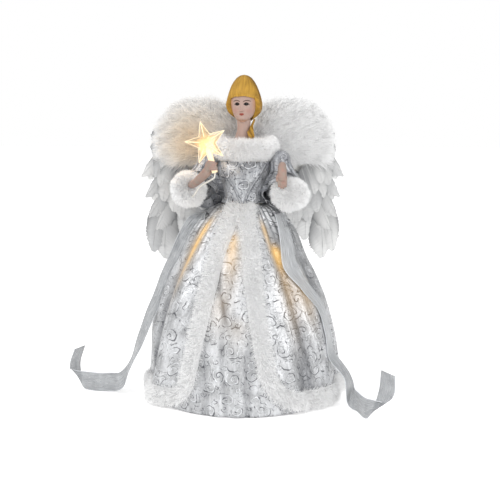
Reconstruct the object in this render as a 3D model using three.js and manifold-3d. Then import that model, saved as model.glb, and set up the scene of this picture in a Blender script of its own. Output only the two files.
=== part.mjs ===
// Angel tree topper: a doll on a hollow skirt form, with a lit star, feather wings and ribbons.
// Millimetres, +Z up, the figure faces -Y, origin at the centre of the skirt form's base.
import * as THREE from "three";
import { mergeVertices } from "three/addons/utils/BufferGeometryUtils.js";
import Module from "manifold-3d";

const wasm = await Module();
wasm.setup();

// Seats and sheets
const seatGap = 0.35;
const clothThickness = 0.8;
const vaneThickness = 0.45;
const quillHeight = 0.4;

// Skirt form: a bell that is part rounded, part straight
const formHeight = 182;
const formBaseRadius = 82;
const formTopRadius = 15;
const formWall = 1.4;
const bellShare = 0.88;
const bellPower = 2.6;
const footWidth = 6;
const footThickness = 1.8;

// Gown
const underFolds = 22;
const underFoldDepth = 2.6;
const robeFolds = 9;
const robeFoldStart = 0.2;
const robeFoldDepth = 8;
const robeFlare = 6;
const robeTurn = -6;
const openingTop = 7.5;
const openingHem = 42;
const openingPower = 1.15;
const robeLift = 3;
const frontTrimWidth = 19;
const hemTrimHeight = 19;
const plushThickness = 5.4;
const ribbonWidth = 18;
const ribbonThickness = 0.6;

// Figure
const torsoHeight = 44;
const torsoWall = 1.6;
const plugDepth = 10;
const neckLength = 29;
const headWidth = 22.6;
const headTurn = -4;
const hairWidth = 35;
const shoulderSpread = 34;
const shoulderForward = 2;
const shoulderDrop = 4;
const sleeveTopRadius = 9.4;
const sleeveEndRadius = 16;
const leftSleeveReach = 9.5;
const rightSleeveReach = 18;
const rightCuffYaw = 35;
const cuffRadius = 12;
const cuffPlush = 6;
const armWireRadius = 1.2;
const armHoleRadius = 1.6;

// Star lamp
const starRadius = 19;
const starNotch = 8.2;
const starDepth = 11;
const starWall = 1.4;
const starTilt = 16;
const starHolderRadius = 2.6;

// Wings
const wingHingeBack = 27;
const wingHingeSpread = 7;
const wingRise = 40;
const wingBend = 165;
const leftWingSweep = 13;
const rightWingSweep = -3;
const wingWireRadius = 0.9;
const eyeletBore = 1.15;
const backingThickness = 1.4;
const layerPitch = 1.3;

// Lamps and battery box
const lampRadius = 2.5;
const lampHolderRadius = 3.4;
const lampHolderLength = 9;
const lampInset = 0.8;
const leadRadius = 0.8;
const cellRadius = 7.15;
const cellLength = 49.2;
const boxWall = 1.6;
const boxDoor = 1.8;
const boxRaise = 9;
const switchTravel = 4;

const turn = Math.PI * 2;
const rad = THREE.MathUtils.degToRad;
const mix = THREE.MathUtils.lerp;
const { clamp, smoothstep } = THREE.MathUtils;
const vec = (x, y, z) => new THREE.Vector3(x, y, z);

const torsoTop = formHeight + torsoHeight;
const shoulderZ = torsoTop - shoulderDrop;
const chinZ = torsoTop + neckLength;

const looks = {
  plastic: { color: 0xe9e7e2, roughness: 0.5, metalness: 0 },
  skin: { color: 0xf3cdb8, roughness: 0.5, metalness: 0 },
  hair: { color: 0xd9a441, roughness: 0.6, metalness: 0 },
  brocade: { color: 0xc3c6cc, roughness: 0.4, metalness: 0.4 },
  plush: { color: 0xf7f5f0, roughness: 0.95, metalness: 0 },
  feather: { color: 0xfaf9f6, roughness: 0.9, metalness: 0 },
  organza: { color: 0xd7d9de, roughness: 0.3, metalness: 0.3 },
  clear: { color: 0xffe2b0, roughness: 0.15, metalness: 0 },
  lamp: { color: 0xffd08a, roughness: 0.25, metalness: 0 },
  wire: { color: 0xb8babd, roughness: 0.35, metalness: 0.9 },
  lead: { color: 0xdedbd2, roughness: 0.5, metalness: 0 },
  felt: { color: 0xf2f1ec, roughness: 0.95, metalness: 0 },
  box: { color: 0x33363a, roughness: 0.5, metalness: 0 },
  cell: { color: 0x5a6f52, roughness: 0.4, metalness: 0.3 },
};

function piece(name, geometry, look) {
  const mesh = new THREE.Mesh(geometry, new THREE.MeshStandardMaterial(looks[look]));
  mesh.name = name;
  return mesh;
}

function grid(rows, columns, place, wrap = false) {
  const step = wrap ? columns : columns - 1;
  const row = (i) => Array.from({ length: columns }, (_, j) => place(i / (rows - 1), j / step));
  return Array.from({ length: rows }, (_, i) => row(i));
}

// Closed body from points and faces, with its faces turned outwards.
function body(points, faces) {
  let volume = 0;
  for (const [a, b, c] of faces) {
    volume += points[a].dot(points[b].clone().cross(points[c]));
  }
  const outward = volume > 0 ? faces : faces.map(([a, b, c]) => [a, c, b]);
  const geometry = new THREE.BufferGeometry().setFromPoints(points);
  geometry.setIndex(outward.flat());
  geometry.computeVertexNormals();
  return geometry;
}

// Sheet between two grids of points; wrap joins its first and last columns.
function sheet(outer, inner, wrap = false) {
  const rows = outer.length;
  const columns = outer[0].length;
  const last = wrap ? columns : columns - 1;
  const out = (i, j) => i * columns + (j % columns);
  const back = (i, j) => rows * columns + out(i, j);
  const faces = [];
  const quad = (a, b, c, d) => faces.push([a, b, c], [a, c, d]);
  for (let j = 0; j < last; j++) {
    for (let i = 0; i < rows - 1; i++) {
      quad(out(i, j), out(i, j + 1), out(i + 1, j + 1), out(i + 1, j));
      quad(back(i, j), back(i + 1, j), back(i + 1, j + 1), back(i, j + 1));
    }
    quad(out(0, j), back(0, j), back(0, j + 1), out(0, j + 1));
    quad(out(rows - 1, j), out(rows - 1, j + 1), back(rows - 1, j + 1), back(rows - 1, j));
  }
  for (let i = 0; i < rows - 1 && !wrap; i++) {
    quad(out(i, 0), out(i + 1, 0), back(i + 1, 0), back(i, 0));
    quad(out(i, last), back(i, last), back(i + 1, last), out(i + 1, last));
  }
  return body([...outer.flat(), ...inner.flat()], faces);
}

// Body through a row of rings: closed by its ends' middle points, or joined end to end.
function loft(rings, joined = false) {
  const sides = rings[0].length;
  const count = rings.length;
  const points = rings.flat();
  const faces = [];
  const at = (i, j) => (i % count) * sides + (j % sides);
  for (let i = 0; i < count - (joined ? 0 : 1); i++) {
    for (let j = 0; j < sides; j++) {
      faces.push([at(i, j), at(i, j + 1), at(i + 1, j + 1)], [at(i, j), at(i + 1, j + 1), at(i + 1, j)]);
    }
  }
  if (!joined) {
    const middle = (ring) => ring.reduce((sum, p) => sum.add(p), vec(0, 0, 0)).divideScalar(sides);
    points.push(middle(rings[0]), middle(rings[count - 1]));
    for (let j = 0; j < sides; j++) {
      faces.push([count * sides, at(0, j + 1), at(0, j)]);
      faces.push([count * sides + 1, at(count - 1, j), at(count - 1, j + 1)]);
    }
  }
  return body(points, faces);
}

// Ring of points about a centre, spanned by two half axes.
function ring(centre, across, along, sides) {
  return Array.from({ length: sides }, (_, j) => {
    const a = (turn * j) / sides;
    return centre.clone().addScaledVector(across, Math.cos(a)).addScaledVector(along, Math.sin(a));
  });
}

// Round limb along a smooth path, its radius read from a list of values spread along the path.
function limb(path, radii, steps, sides) {
  const curve = new THREE.CatmullRomCurve3(path);
  const frames = curve.computeFrenetFrames(steps, false);
  const rings = [];
  for (let i = 0; i <= steps; i++) {
    const place = (i / steps) * (radii.length - 1);
    const k = Math.min(Math.floor(place), radii.length - 2);
    const radius = mix(radii[k], radii[k + 1], place - k);
    const across = frames.normals[i].clone().multiplyScalar(radius);
    const along = frames.binormals[i].clone().multiplyScalar(radius);
    rings.push(ring(curve.getPointAt(i / steps), across, along, sides));
  }
  return loft(rings);
}

// Wire of even thickness along a smooth path.
function wire(path, radius, steps) {
  const section = new THREE.Shape();
  section.absarc(0, 0, radius, 0, turn);
  const extrudePath = new THREE.CatmullRomCurve3(path);
  const options = { steps, extrudePath, curveSegments: 3, bevelEnabled: false };
  return new THREE.ExtrudeGeometry(section, options);
}

function box(size, centre) {
  return new THREE.BoxGeometry(...size).translate(...centre);
}

function rod(radius, from, to, sides = 16) {
  const axis = to.clone().sub(from);
  const bar = new THREE.CylinderGeometry(radius, radius, axis.length(), sides);
  const aim = new THREE.Quaternion().setFromUnitVectors(vec(0, 1, 0), axis.clone().normalize());
  const middle = from.clone().add(to).multiplyScalar(0.5);
  return bar.applyQuaternion(aim).translate(middle.x, middle.y, middle.z);
}

function solid(geometry) {
  const bare = geometry.clone();
  bare.deleteAttribute("normal");
  bare.deleteAttribute("uv");
  const merged = mergeVertices(bare, 1e-4);
  const vertProperties = new Float32Array(merged.attributes.position.array);
  const triVerts = new Uint32Array(merged.index.array);
  return new wasm.Manifold(new wasm.Mesh({ numProp: 3, vertProperties, triVerts }));
}

function faceted(result) {
  const mesh = result.getMesh();
  const geometry = new THREE.BufferGeometry();
  geometry.setAttribute("position", new THREE.BufferAttribute(new Float32Array(mesh.vertProperties), 3));
  geometry.setIndex(Array.from(mesh.triVerts));
  geometry.computeVertexNormals();
  return geometry;
}

function cut(base, ...tools) {
  return faceted(tools.reduce((left, tool) => left.subtract(solid(tool)), solid(base)));
}

function join(...bodies) {
  return faceted(bodies.map(solid).reduce((sum, next) => sum.add(next)));
}

function common(first, second) {
  return faceted(solid(first).intersect(solid(second)));
}

// Skirt form

const levels = [0, 0.2, 0.44, 0.66, 0.85, 1].map((share) => share * formHeight);
const dropAt = (z) => clamp((formHeight - z) / formHeight, 0, 1);

function formRadius(z) {
  const drop = dropAt(z);
  const rounded = 1 - (1 - drop) ** bellPower;
  return mix(formTopRadius, formBaseRadius, bellShare * rounded + (1 - bellShare) * drop);
}

// Point at an angle from the front, positive towards the figure's left.
const around = (angle, radius, z) => vec(radius * Math.sin(angle), -radius * Math.cos(angle), z);

function lathe(profile, sides) {
  const points = profile.map(([r, z]) => new THREE.Vector2(r, z));
  const turned = new THREE.LatheGeometry(points, sides).rotateX(Math.PI / 2);
  return faceted(solid(turned));
}

const innerFloor = [...levels].filter((z) => z > footThickness);
const formProfile = [
  [formBaseRadius - footWidth, 0],
  ...levels.map((z) => [formRadius(z), z]),
  ...innerFloor.reverse().map((z) => [formRadius(z) - formWall, z]),
  [formRadius(footThickness) - formWall, footThickness],
  [formBaseRadius - footWidth, footThickness],
  [formBaseRadius - footWidth, 0],
];

// Lamps: angle from the front in degrees, height
const lampSpots = [
  [0, 146],
  [52, 140],
  [70, 82],
  [180, 122],
  [-54, 150],
  [-8, 84],
].map(([angle, z]) => ({ angle: rad(angle + robeTurn), z: (z / 182) * formHeight }));

function lampAxis({ angle, z }) {
  const slope = formRadius(z + 0.5) - formRadius(z - 0.5);
  return around(angle, 1, -slope).normalize();
}

const lampRest = formWall + seatGap + 0.3;

function lampBody(spot) {
  const profile = [
    [0, 0],
    [0, -lampRest - lampHolderLength],
    [lampHolderRadius, -lampRest - lampHolderLength],
    [lampHolderRadius, -lampRest],
    [lampRadius, -lampRest],
    [lampRadius, -1.6],
    [lampRadius * 0.7, -0.5],
    [0, 0],
  ];
  const turned = lathe(profile, 8);
  const axis = lampAxis(spot);
  const tip = around(spot.angle, formRadius(spot.z), spot.z).addScaledVector(axis, -lampInset);
  turned.applyQuaternion(new THREE.Quaternion().setFromUnitVectors(vec(0, 0, 1), axis));
  return turned.translate(tip.x, tip.y, tip.z);
}

function lampHole(spot) {
  const axis = lampAxis(spot);
  const skin = around(spot.angle, formRadius(spot.z), spot.z);
  const start = skin.clone().addScaledVector(axis, -6);
  return rod(lampRadius + seatGap, start, skin.clone().addScaledVector(axis, 4), 10);
}

const skirtForm = cut(lathe(formProfile, 30), ...lampSpots.map(lampHole));

// Lead from the battery box past the backs of the lamp holders
function lampBack(spot) {
  const back = lampInset + lampRest + lampHolderLength + 2 * seatGap + leadRadius;
  return around(spot.angle, formRadius(spot.z), spot.z).addScaledVector(lampAxis(spot), -back);
}

// Gown

function openingHalf(z) {
  return mix(openingTop, openingHem, dropAt(z) ** openingPower);
}

const underBase = (z) => formRadius(z) + seatGap + clothThickness;
const robeBase = (z) => underBase(z) + seatGap + clothThickness;
const openingAngle = (z) => Math.asin(openingHalf(z) / robeBase(z));

function underRadius(angle, z) {
  const from = Math.abs(Math.atan2(Math.sin(angle), Math.cos(angle)));
  const edge = openingAngle(z);
  const shown = 1 - smoothstep(from, edge * 0.55, edge * 0.95);
  const fold = 0.5 - 0.5 * Math.cos(underFolds * angle);
  return underBase(z) + underFoldDepth * dropAt(z) ** 0.7 * shown * fold;
}

// The robe runs from its left front edge round the back to its right one, share 0 to 1,
// and stands out most at the figure's right side.
function robeFold(share, z) {
  const calm = smoothstep(share, 0.02, 0.08) * (1 - smoothstep(share, 0.92, 0.98));
  const uneven = 0.82 + 0.18 * Math.cos(turn * 3 * share + 1);
  const depth = robeFoldDepth * (0.1 + 0.9 * dropAt(z) ** 0.6);
  const wave = 0.5 - 0.5 * Math.cos(turn * (robeFolds * share + robeFoldStart));
  const level = z / formHeight;
  const flare = smoothstep(level, 0.2, 0.44) * (1 - smoothstep(level, 0.65, 0.97));
  return depth * calm * uneven * wave + robeFlare * flare * Math.exp(-(((share - 0.76) / 0.075) ** 2));
}

function robeAngle(share, z) {
  const edge = openingAngle(z);
  return edge + share * (turn - 2 * edge);
}

// Highest fold under a band that crosses the robe at an angle from the front
function foldUnder(side, angle, z, width) {
  const edge = openingAngle(z);
  const heights = [-3, -2, -1, 0, 1, 2, 3].map((k) => {
    const share = (angle + (k * width) / 6 / robeBase(z) - edge) / (turn - 2 * edge);
    return robeFold(side > 0 ? share : 1 - share, z);
  });
  return Math.max(...heights);
}

function skirtSheet(columns, lift, angleOf, radiusOf, wrap) {
  const heights = [lift, ...levels.slice(1, -1), formHeight - 1];
  const place = (inset) => (row, share) => {
    const z = heights[Math.round(row * (heights.length - 1))];
    return around(angleOf(share, z), radiusOf(share, z) - inset, z);
  };
  const rows = heights.length;
  return sheet(
    grid(rows, columns, place(0), wrap),
    grid(rows, columns, place(clothThickness), wrap),
    wrap
  );
}

// Columns of the underskirt: close together where it shows, wide apart under the robe
const underAngles = [
  ...Array.from({ length: 27 }, (_, k) => rad(-50 + (100 * k) / 26)),
  ...Array.from({ length: 25 }, (_, k) => rad(60 + 10 * k)),
];
const underAngle = (share) => underAngles[Math.round(share * underAngles.length)];
const underskirt = skirtSheet(
  underAngles.length,
  0.6,
  underAngle,
  (share, z) => underRadius(underAngle(share), z),
  true
);
const robe = skirtSheet(55, robeLift, robeAngle, (s, z) => robeBase(z) + robeFold(s, z), false);

// Plush band: a lens-shaped section that lies on the cloth.
function plushHeight(across) {
  return 0.6 + plushThickness * Math.sqrt(Math.max(0, 1 - across * across));
}

const hemTop = robeLift - 1 + hemTrimHeight;

function frontTrim(side) {
  const place = (fur) => (row, column) => {
    const across = 2 * column - 1;
    const z = mix(formHeight - 2, hemTop + 0.5, row);
    const base = robeBase(z);
    const share = (2.5 + (across * frontTrimWidth) / 2) / base / (turn - 2 * openingAngle(z));
    const from = Math.max(0, share);
    const under = base + Math.max(robeFold(from, z), robeFold(1 - from, z)) + seatGap + 0.75;
    const lift = under + (fur ? plushHeight(across) : 0);
    return around(side * robeAngle(share, z), lift, z);
  };
  return sheet(grid(9, 5, place(true)), grid(9, 5, place(false)));
}

const hemTrim = (() => {
  const place = (fur) => (row, share) => {
    const across = 2 * row - 1;
    const z = robeLift - 1 + row * hemTrimHeight;
    const under = robeBase(z) + robeFold(share, z) + seatGap;
    return around(robeAngle(share, z), under + (fur ? plushHeight(across) : 0), z);
  };
  return sheet(grid(4, 55, place(true)), grid(4, 55, place(false)));
})();

// Ribbon: on the skirt its stops are angle and share of the form's height; off the skirt they
// are shares of the form's base radius and height, and the direction across the ribbon.
function ribbon(side, onSkirt, free) {
  const stops = onSkirt.map(([angle, level]) => {
    const z = level * formHeight;
    const lift = foldUnder(side, rad(angle), z, ribbonWidth) + seatGap + ribbonThickness;
    const at = around(side * rad(angle), robeBase(z) + lift, z);
    return { at, across: vec(Math.cos(rad(angle)) * side, Math.sin(rad(angle)), 0) };
  });
  for (const [x, y, level, across] of free) {
    const at = vec(side * x * formBaseRadius, y * formBaseRadius, level * formHeight);
    stops.push({ at, across: vec(side * across[0], across[1], across[2]) });
  }
  const path = new THREE.CatmullRomCurve3(stops.map((stop) => stop.at));
  const spread = new THREE.CatmullRomCurve3(stops.map((stop) => stop.across));
  const place = (offset) => (row, column) => {
    const across = spread.getPoint(row).normalize();
    const facing = across.clone().cross(path.getTangent(row)).normalize();
    const at = path.getPoint(row).addScaledVector(across, (column - 0.5) * ribbonWidth);
    return at.addScaledVector(facing, offset);
  };
  const half = ribbonThickness / 2;
  return sheet(grid(34, 2, place(half)), grid(34, 2, place(-half)));
}

const ribbonLeft = ribbon(
  1,
  [[76, 0.956], [62, 0.835], [56, 0.703], [66, 0.593], [80, 0.484], [83, 0.363], [82, 0.253]],
  [
    [1.262, -0.159, 0.1429, [0.2, 1, 0]],
    [1.317, -0.220, 0.0577, [0.2, 0.6, 0.55]],
    [1.378, -0.415, 0.0527, [0, 0.15, 1]],
    [1.500, -0.707, 0.0516, [0.15, 0, 1]],
    [1.622, -0.805, 0.0714, [0.7, -0.2, 0.6]],
    [1.683, -0.805, 0.1429, [0.75, -0.6, 0.1]],
    [1.671, -0.780, 0.2308, [0.7, -0.7, -0.1]],
  ]
);
const ribbonRight = ribbon(
  -1,
  [[80, 0.956]],
  [
    [0.591, -0.115, 0.8791, [0.8, 0.3, 0.5]],
    [0.848, -0.159, 0.7033, [0.6, 0.7, 0.25]],
    [1.012, -0.189, 0.5330, [0.5, 0.8, 0.2]],
    [1.128, -0.213, 0.4176, [0.4, 0.9, 0.15]],
    [1.244, -0.238, 0.2637, [0.4, 0.9, 0.1]],
    [1.335, -0.256, 0.1429, [0.3, 0.9, 0.2]],
    [1.415, -0.262, 0.0659, [0.3, 0.6, 0.6]],
    [1.549, -0.256, 0.0527, [0.1, 0.1, 1]],
    [1.720, -0.244, 0.0516, [0, 0, 1]],
    [1.854, -0.220, 0.0659, [0.35, -0.2, 0.8]],
    [1.902, -0.171, 0.1319, [0.2, -0.97, 0.1]],
    [1.866, -0.134, 0.2198, [0.3, -0.95, 0]],
  ]
);

// Torso form: height above its foot, half width, half depth, middle's offset to the front
const torsoSections = [
  [0, 16.4, 13.6, 0],
  [7, 16, 12.6, 0],
  [16, 18.2, 14.4, 0.6],
  [25, 21.2, 17.2, 1.8],
  [32, 22.6, 16.4, 1.2],
  [39, 22.6, 13.4, 0.3],
  [torsoHeight - seatGap, 20, 11.4, 0],
];

function torsoRings(grow, from, to) {
  const rows = torsoSections.filter(([h]) => h >= from && h <= to);
  return rows.map(([h, wide, deep, front]) => {
    const z = formHeight + seatGap + h;
    return ring(vec(0, -front, z), vec(wide + grow, 0, 0), vec(0, deep + grow, 0), 20);
  });
}

const plugRadius = formTopRadius - formWall - seatGap - 0.15;
const plug = rod(plugRadius, vec(0, 0, formHeight - plugDepth), vec(0, 0, formHeight + 3), 20);
const plugBore = rod(plugRadius - torsoWall, vec(0, 0, 0), vec(0, 0, formHeight + 12), 20);
const shoulderLine = [vec(-60, -shoulderForward, shoulderZ), vec(60, -shoulderForward, shoulderZ)];
const torsoCore = loft(torsoRings(-torsoWall, 7, 32));
const torso = cut(
  join(loft(torsoRings(0, 0, torsoHeight)), plug),
  torsoCore,
  plugBore,
  rod(armHoleRadius, ...shoulderLine, 14)
);

const bodice = cut(
  sheet(torsoRings(seatGap + clothThickness, 0, 39), torsoRings(seatGap, 0, 39), true),
  rod(armHoleRadius + 0.6, ...shoulderLine, 14)
);

// Head: neck and shoulder plate sections, then face sections, all as
// [height, half width, half depth, offset to the front]
const plateZ = torsoTop + seatGap;
const plateSections = [
  [0, 20, 11.6, 0],
  [3.5, 17.5, 11.2, 0],
  [7.5, 13, 10, 0],
  [11, 10.6, 8.6, 0],
  [15, 8, 7.1, 0],
  [22, 6.2, 6.3, 0.2],
  [neckLength + 4, 6.2, 6.4, 0.8],
];
const faceSections = [
  [0, 2.6, 2.6, 6.6],
  [1.6, 5, 5.6, 5.2],
  [4, 7.2, 8.4, 3.4],
  [6, 8.4, 9.8, 2.4],
  [7.6, 9.1, 10.5, 1.8],
  [9.4, 9.8, 11.2, 1.3],
  [11, 10.2, 11.6, 0.9],
  [12.6, 10.5, 12, 0.6],
  [15, 10.9, 12.4, 0.2],
  [17.6, 11.2, 12.8, -0.2],
  [21, 11.3, 13, -0.5],
  [25.5, 10.9, 12.5, -0.8],
  [30, 9, 10.4, -1],
  [33.4, 5.2, 6, -1],
  [34.6, 2, 2.4, -1],
];
const bump = (x, h, x0, h0, wide, tall) => Math.exp(-(((x - x0) / wide) ** 2) - ((h - h0) / tall) ** 2);

// Relief on the front of the face: nose, lips and chin stand out, eye sockets sink.
function faceRelief(x, h) {
  const nose = 1.9 * bump(x, h, 0, 11.2, 1.5, 1.5) + 0.9 * bump(x, h, 0, 14.2, 1.3, 2.6);
  const lips = 0.6 * bump(x, h, 0, 7.4, 2.4, 1.1);
  const chin = 0.5 * bump(x, h, 0, 2.6, 3, 1.8);
  const eyes = bump(x, h, 4.5, 17.4, 2.3, 1.7) + bump(x, h, -4.5, 17.4, 2.3, 1.7);
  return nose + lips + chin - 0.6 * eyes;
}

// Angles about the head, closer together on the face
const headAngles = Array.from({ length: 26 }, (_, j) => {
  const share = (j / 26) * 2 - 1;
  return Math.PI * (0.55 * share + 0.45 * share ** 3);
});

function headRing([h, wide, deep, front]) {
  return headAngles.map((angle) => {
    const x = ((wide * headWidth) / 22.6) * Math.sin(angle);
    const facing = Math.max(0, Math.cos(angle));
    return vec(x, -front - deep * Math.cos(angle) - facing * faceRelief(x, h), chinZ + h);
  });
}

function neckBody(grow, sides) {
  const rings = plateSections.map(([h, wide, deep, front]) => {
    const low = h === 0 ? grow : 0;
    return ring(vec(0, -front, plateZ + h - low), vec(wide + grow, 0, 0), vec(0, deep + grow, 0), sides);
  });
  return loft(rings);
}

const head = join(neckBody(0, 20), loft(faceSections.map(headRing)).rotateZ(rad(headTurn)));
const neckSpace = neckBody(2 * seatGap, 16);

// Hair: height above the chin, half width as a share of the full one, half depth, offset to the back
const hairSections = [
  [2.5, 0.62, 8.5, 5],
  [6, 0.84, 12, 4],
  [11, 0.97, 15.2, 2.6],
  [17, 1, 16.6, 2],
  [24, 0.95, 16.4, 1.8],
  [31, 0.8, 14.4, 1.6],
  [37, 0.62, 11.4, 1.4],
  [41.5, 0.42, 7.8, 1.4],
  [44.2, 0.2, 3.8, 1.4],
  [45, 0.05, 1, 1.4],
];
const hairOuter = loft(
  hairSections.map(([h, share, deep, backward]) => {
    const half = (hairWidth / 2) * share;
    return ring(vec(0, backward, chinZ + h), vec(half, 0, 0), vec(0, deep, 0), 20);
  })
);
const faceWindow = loft(
  [-40, -1].map((y) => ring(vec(0, y, chinZ + 11), vec(headWidth / 2 - 0.4, 0, 0), vec(0, 0, 14), 24))
);
const skullSpace = loft(
  faceSections.map(([h, wide, deep, front]) => {
    const half = (wide * headWidth) / 22.6 + 2 * seatGap;
    return ring(vec(0, -front, chinZ + h), vec(half, 0, 0), vec(0, deep + 2 * seatGap, 0), 16);
  })
);
const hair = cut(hairOuter, skullSpace, neckSpace, faceWindow).rotateZ(rad(headTurn));

const ringlet = cut(
  limb(
    [
      vec(11.4, 3, chinZ + 1.5),
      vec(10, -4, chinZ - 3),
      vec(7, -9, chinZ - 9),
      vec(6.4, -12.2, chinZ - 15),
    ],
    [1.6, 2.3, 2.2, 1],
    10,
    8
  ),
  neckSpace,
  skullSpace,
  hairOuter
).rotateZ(rad(headTurn));

// Collar: a plush loop round the shoulders, cut to lie on what it covers
function shoulderSphere(side, grow) {
  const ball = new THREE.SphereGeometry(sleeveTopRadius + grow, 14, 10);
  return ball.translate(side * shoulderSpread, -shoulderForward, shoulderZ);
}

const collarRings = Array.from({ length: 22 }, (_, i) => {
  const angle = (turn * i) / 22;
  const front = Math.cos(angle);
  const spine = vec(26 * Math.sin(angle), -front * (front > 0 ? 17.5 : 11.5), torsoTop + 4.5 - 2.5 * front);
  const outward = vec(Math.sin(angle) * 0.9, -front, 0).normalize();
  return ring(spine, outward.multiplyScalar(7), vec(0, 0, 8.6), 8);
});
const bodiceSpace = loft(torsoRings(2 * seatGap + clothThickness, 0, torsoHeight));
const collar = cut(
  loft(collarRings, true),
  neckSpace,
  bodiceSpace,
  shoulderSphere(1, seatGap),
  shoulderSphere(-1, seatGap),
  rod(armHoleRadius + 0.6, ...shoulderLine, 14),
  ringletSpace()
);

function ringletSpace() {
  return limb(
    [vec(7, -9, chinZ - 9), vec(6.4, -12.2, chinZ - 15), vec(6.4, -13, chinZ - 17)],
    [2.9, 2.2, 1.4],
    6,
    8
  ).rotateZ(rad(headTurn));
}

// Arms, measured from the shoulder pivot, x outwards.
// Sleeve sections: share of the reach outwards, y, z, share of the end radius,
// turn about X from level (0) to facing the front (90)
const sleeveSections = [
  [0, 0, -3, 0.58, 0],
  [0.26, 1.6, -12, 0.74, 15],
  [0.5, 0.6, -22, 0.9, 50],
  [0.8, -5, -29, 0.98, 85],
  [1, -11, -32, 1, 105],
];

const upright = vec(0, 0, 1);
const sleeveReach = (side) => (side > 0 ? leftSleeveReach : rightSleeveReach);

function sleeveRings(side, grow, yaw) {
  return sleeveSections.map(([x, y, z, share, tip]) => {
    const radius = sleeveEndRadius * share + grow;
    const swing = (-side * rad(yaw) * tip) / 105;
    const across = vec(side, 0, 0).applyAxisAngle(upright, swing).multiplyScalar(radius);
    const along = vec(0, 1, 0).applyAxisAngle(vec(1, 0, 0), -rad(tip)).applyAxisAngle(upright, swing);
    return ring(vec(side * x * sleeveReach(side), y, z), across, along.multiplyScalar(radius), 12);
  });
}

// Where the cuff sits: the middle of the sleeve's end and the way it faces
function cuffSeat(side, yaw) {
  const [x, y, z, , tip] = sleeveSections[sleeveSections.length - 1];
  const facing = vec(0, 0, -1).applyAxisAngle(vec(1, 0, 0), -rad(tip));
  facing.applyAxisAngle(upright, -side * rad(yaw));
  return { centre: vec(side * x * sleeveReach(side), y, z), facing };
}

function sleeve(side, yaw, slits) {
  const { facing } = cuffSeat(side, yaw);
  const ball = (radius) => new THREE.SphereGeometry(radius, 12, 8);
  const inner = sleeveRings(side, -clothThickness, yaw);
  inner.push(inner[inner.length - 1].map((p) => p.clone().addScaledVector(facing, 3)));
  const outer = join(loft(sleeveRings(side, 0, yaw)), ball(sleeveTopRadius));
  const hollow = join(loft(inner), ball(sleeveTopRadius - clothThickness));
  const inlet = rod(armWireRadius + 0.8, vec(0, 0, 0), vec(-side * 12, 0, 0), 12);
  return cut(outer, hollow, inlet, ...slits);
}

function cuff(side, yaw, spaces) {
  const { centre, facing } = cuffSeat(side, yaw);
  const reach = Math.sqrt(Math.max(1, cuffPlush ** 2 - (sleeveEndRadius - cuffRadius) ** 2));
  const middle = centre.clone().addScaledVector(facing, reach + seatGap + 0.1);
  const across = upright.clone().cross(facing).normalize();
  const along = facing.clone().cross(across);
  const rings = Array.from({ length: 16 }, (_, i) => {
    const a = (turn * i) / 16;
    const outward = across.clone().multiplyScalar(Math.cos(a)).addScaledVector(along, Math.sin(a));
    const spine = middle.clone().addScaledVector(outward, cuffRadius);
    return ring(spine, outward.multiplyScalar(cuffPlush), facing.clone().multiplyScalar(cuffPlush), 8);
  });
  return cut(loft(rings, true), ...spaces);
}

// Left arm: the hand hangs from a slit high in the front of the sleeve.
const inboard = shoulderSpread - 8;
const leftHandPath = [vec(2, -7, -4.5), vec(2.4, -15, -4.5), vec(2.6, -20, -9), vec(2.8, -21.5, -15)];
const leftArmPath = [
  vec(-inboard, 0, 0),
  vec(-6, 0, 0),
  vec(0, -1.4, -1.4),
  vec(2, -7, -4.5),
  vec(2.4, -13, -4.5),
];
const leftSlit = rod(4.4, vec(2, -4, -4.5), vec(2.2, -16, -4.5), 14);

function leftHand() {
  const palm = limb(leftHandPath, [2.6, 2.7, 3.2, 3.4], 6, 8);
  const fingers = [0, 1, 2, 3].map((k) => {
    const x = 0.2 + 1.75 * k;
    const reach = 24.5 - Math.abs(k - 1.6) * 1.3;
    return limb([vec(x, -21.4, -14), vec(x, -22.6, -19.5), vec(x, -21.8, -reach)], [1.15, 1.1, 0.75], 3, 5);
  });
  const thumbPath = [vec(0.4, -19.6, -9.6), vec(-1.8, -22, -14), vec(-2, -22.6, -17.4)];
  const thumb = limb(thumbPath, [1.3, 1.2, 0.8], 3, 6);
  return cut(join(palm, ...fingers, thumb), wire(leftArmPath, armWireRadius + seatGap, 14));
}

// Right arm: the forearm leaves the cuff and the hand closes on the star's holder.
const starCentre = vec(5, -48, 18);
const starDown = vec(Math.sin(rad(starTilt)), 0, -Math.cos(rad(starTilt)));
const holderAt = (distance) => starCentre.clone().addScaledVector(starDown, distance);
const rightHandPath = [
  vec(-18.2, -10, -32),
  vec(-15, -15, -30.7),
  vec(-9, -24.5, -26.4),
  vec(-2.2, -36, -17.5),
  vec(5, -44.2, -8.6),
];
const rightArmPath = [
  vec(inboard, 0, 0),
  vec(6, 0, 0),
  vec(-1, 0, -2),
  vec(-8, 1, -14),
  vec(-17, -3, -28),
  vec(-18.2, -10, -32),
  vec(-15, -15, -30.7),
  vec(-11.4, -20.7, -28.1),
];

const holderStart = 3.2;
const holderEnd = 27.5;
// Lead from the star's holder, under the forearm and up the sleeve
const leadPath = [
  holderAt(holderEnd + seatGap),
  holderAt(holderEnd + 3),
  vec(-2.4, -35.4, -22),
  vec(-9.4, -24.2, -30.9),
  vec(-15.4, -14.4, -35.2),
  vec(-18.4, -8, -36.4),
  vec(-17, 0, -31),
  vec(-9, 6.5, -18),
  vec(-2.5, 4, -5),
];

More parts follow.
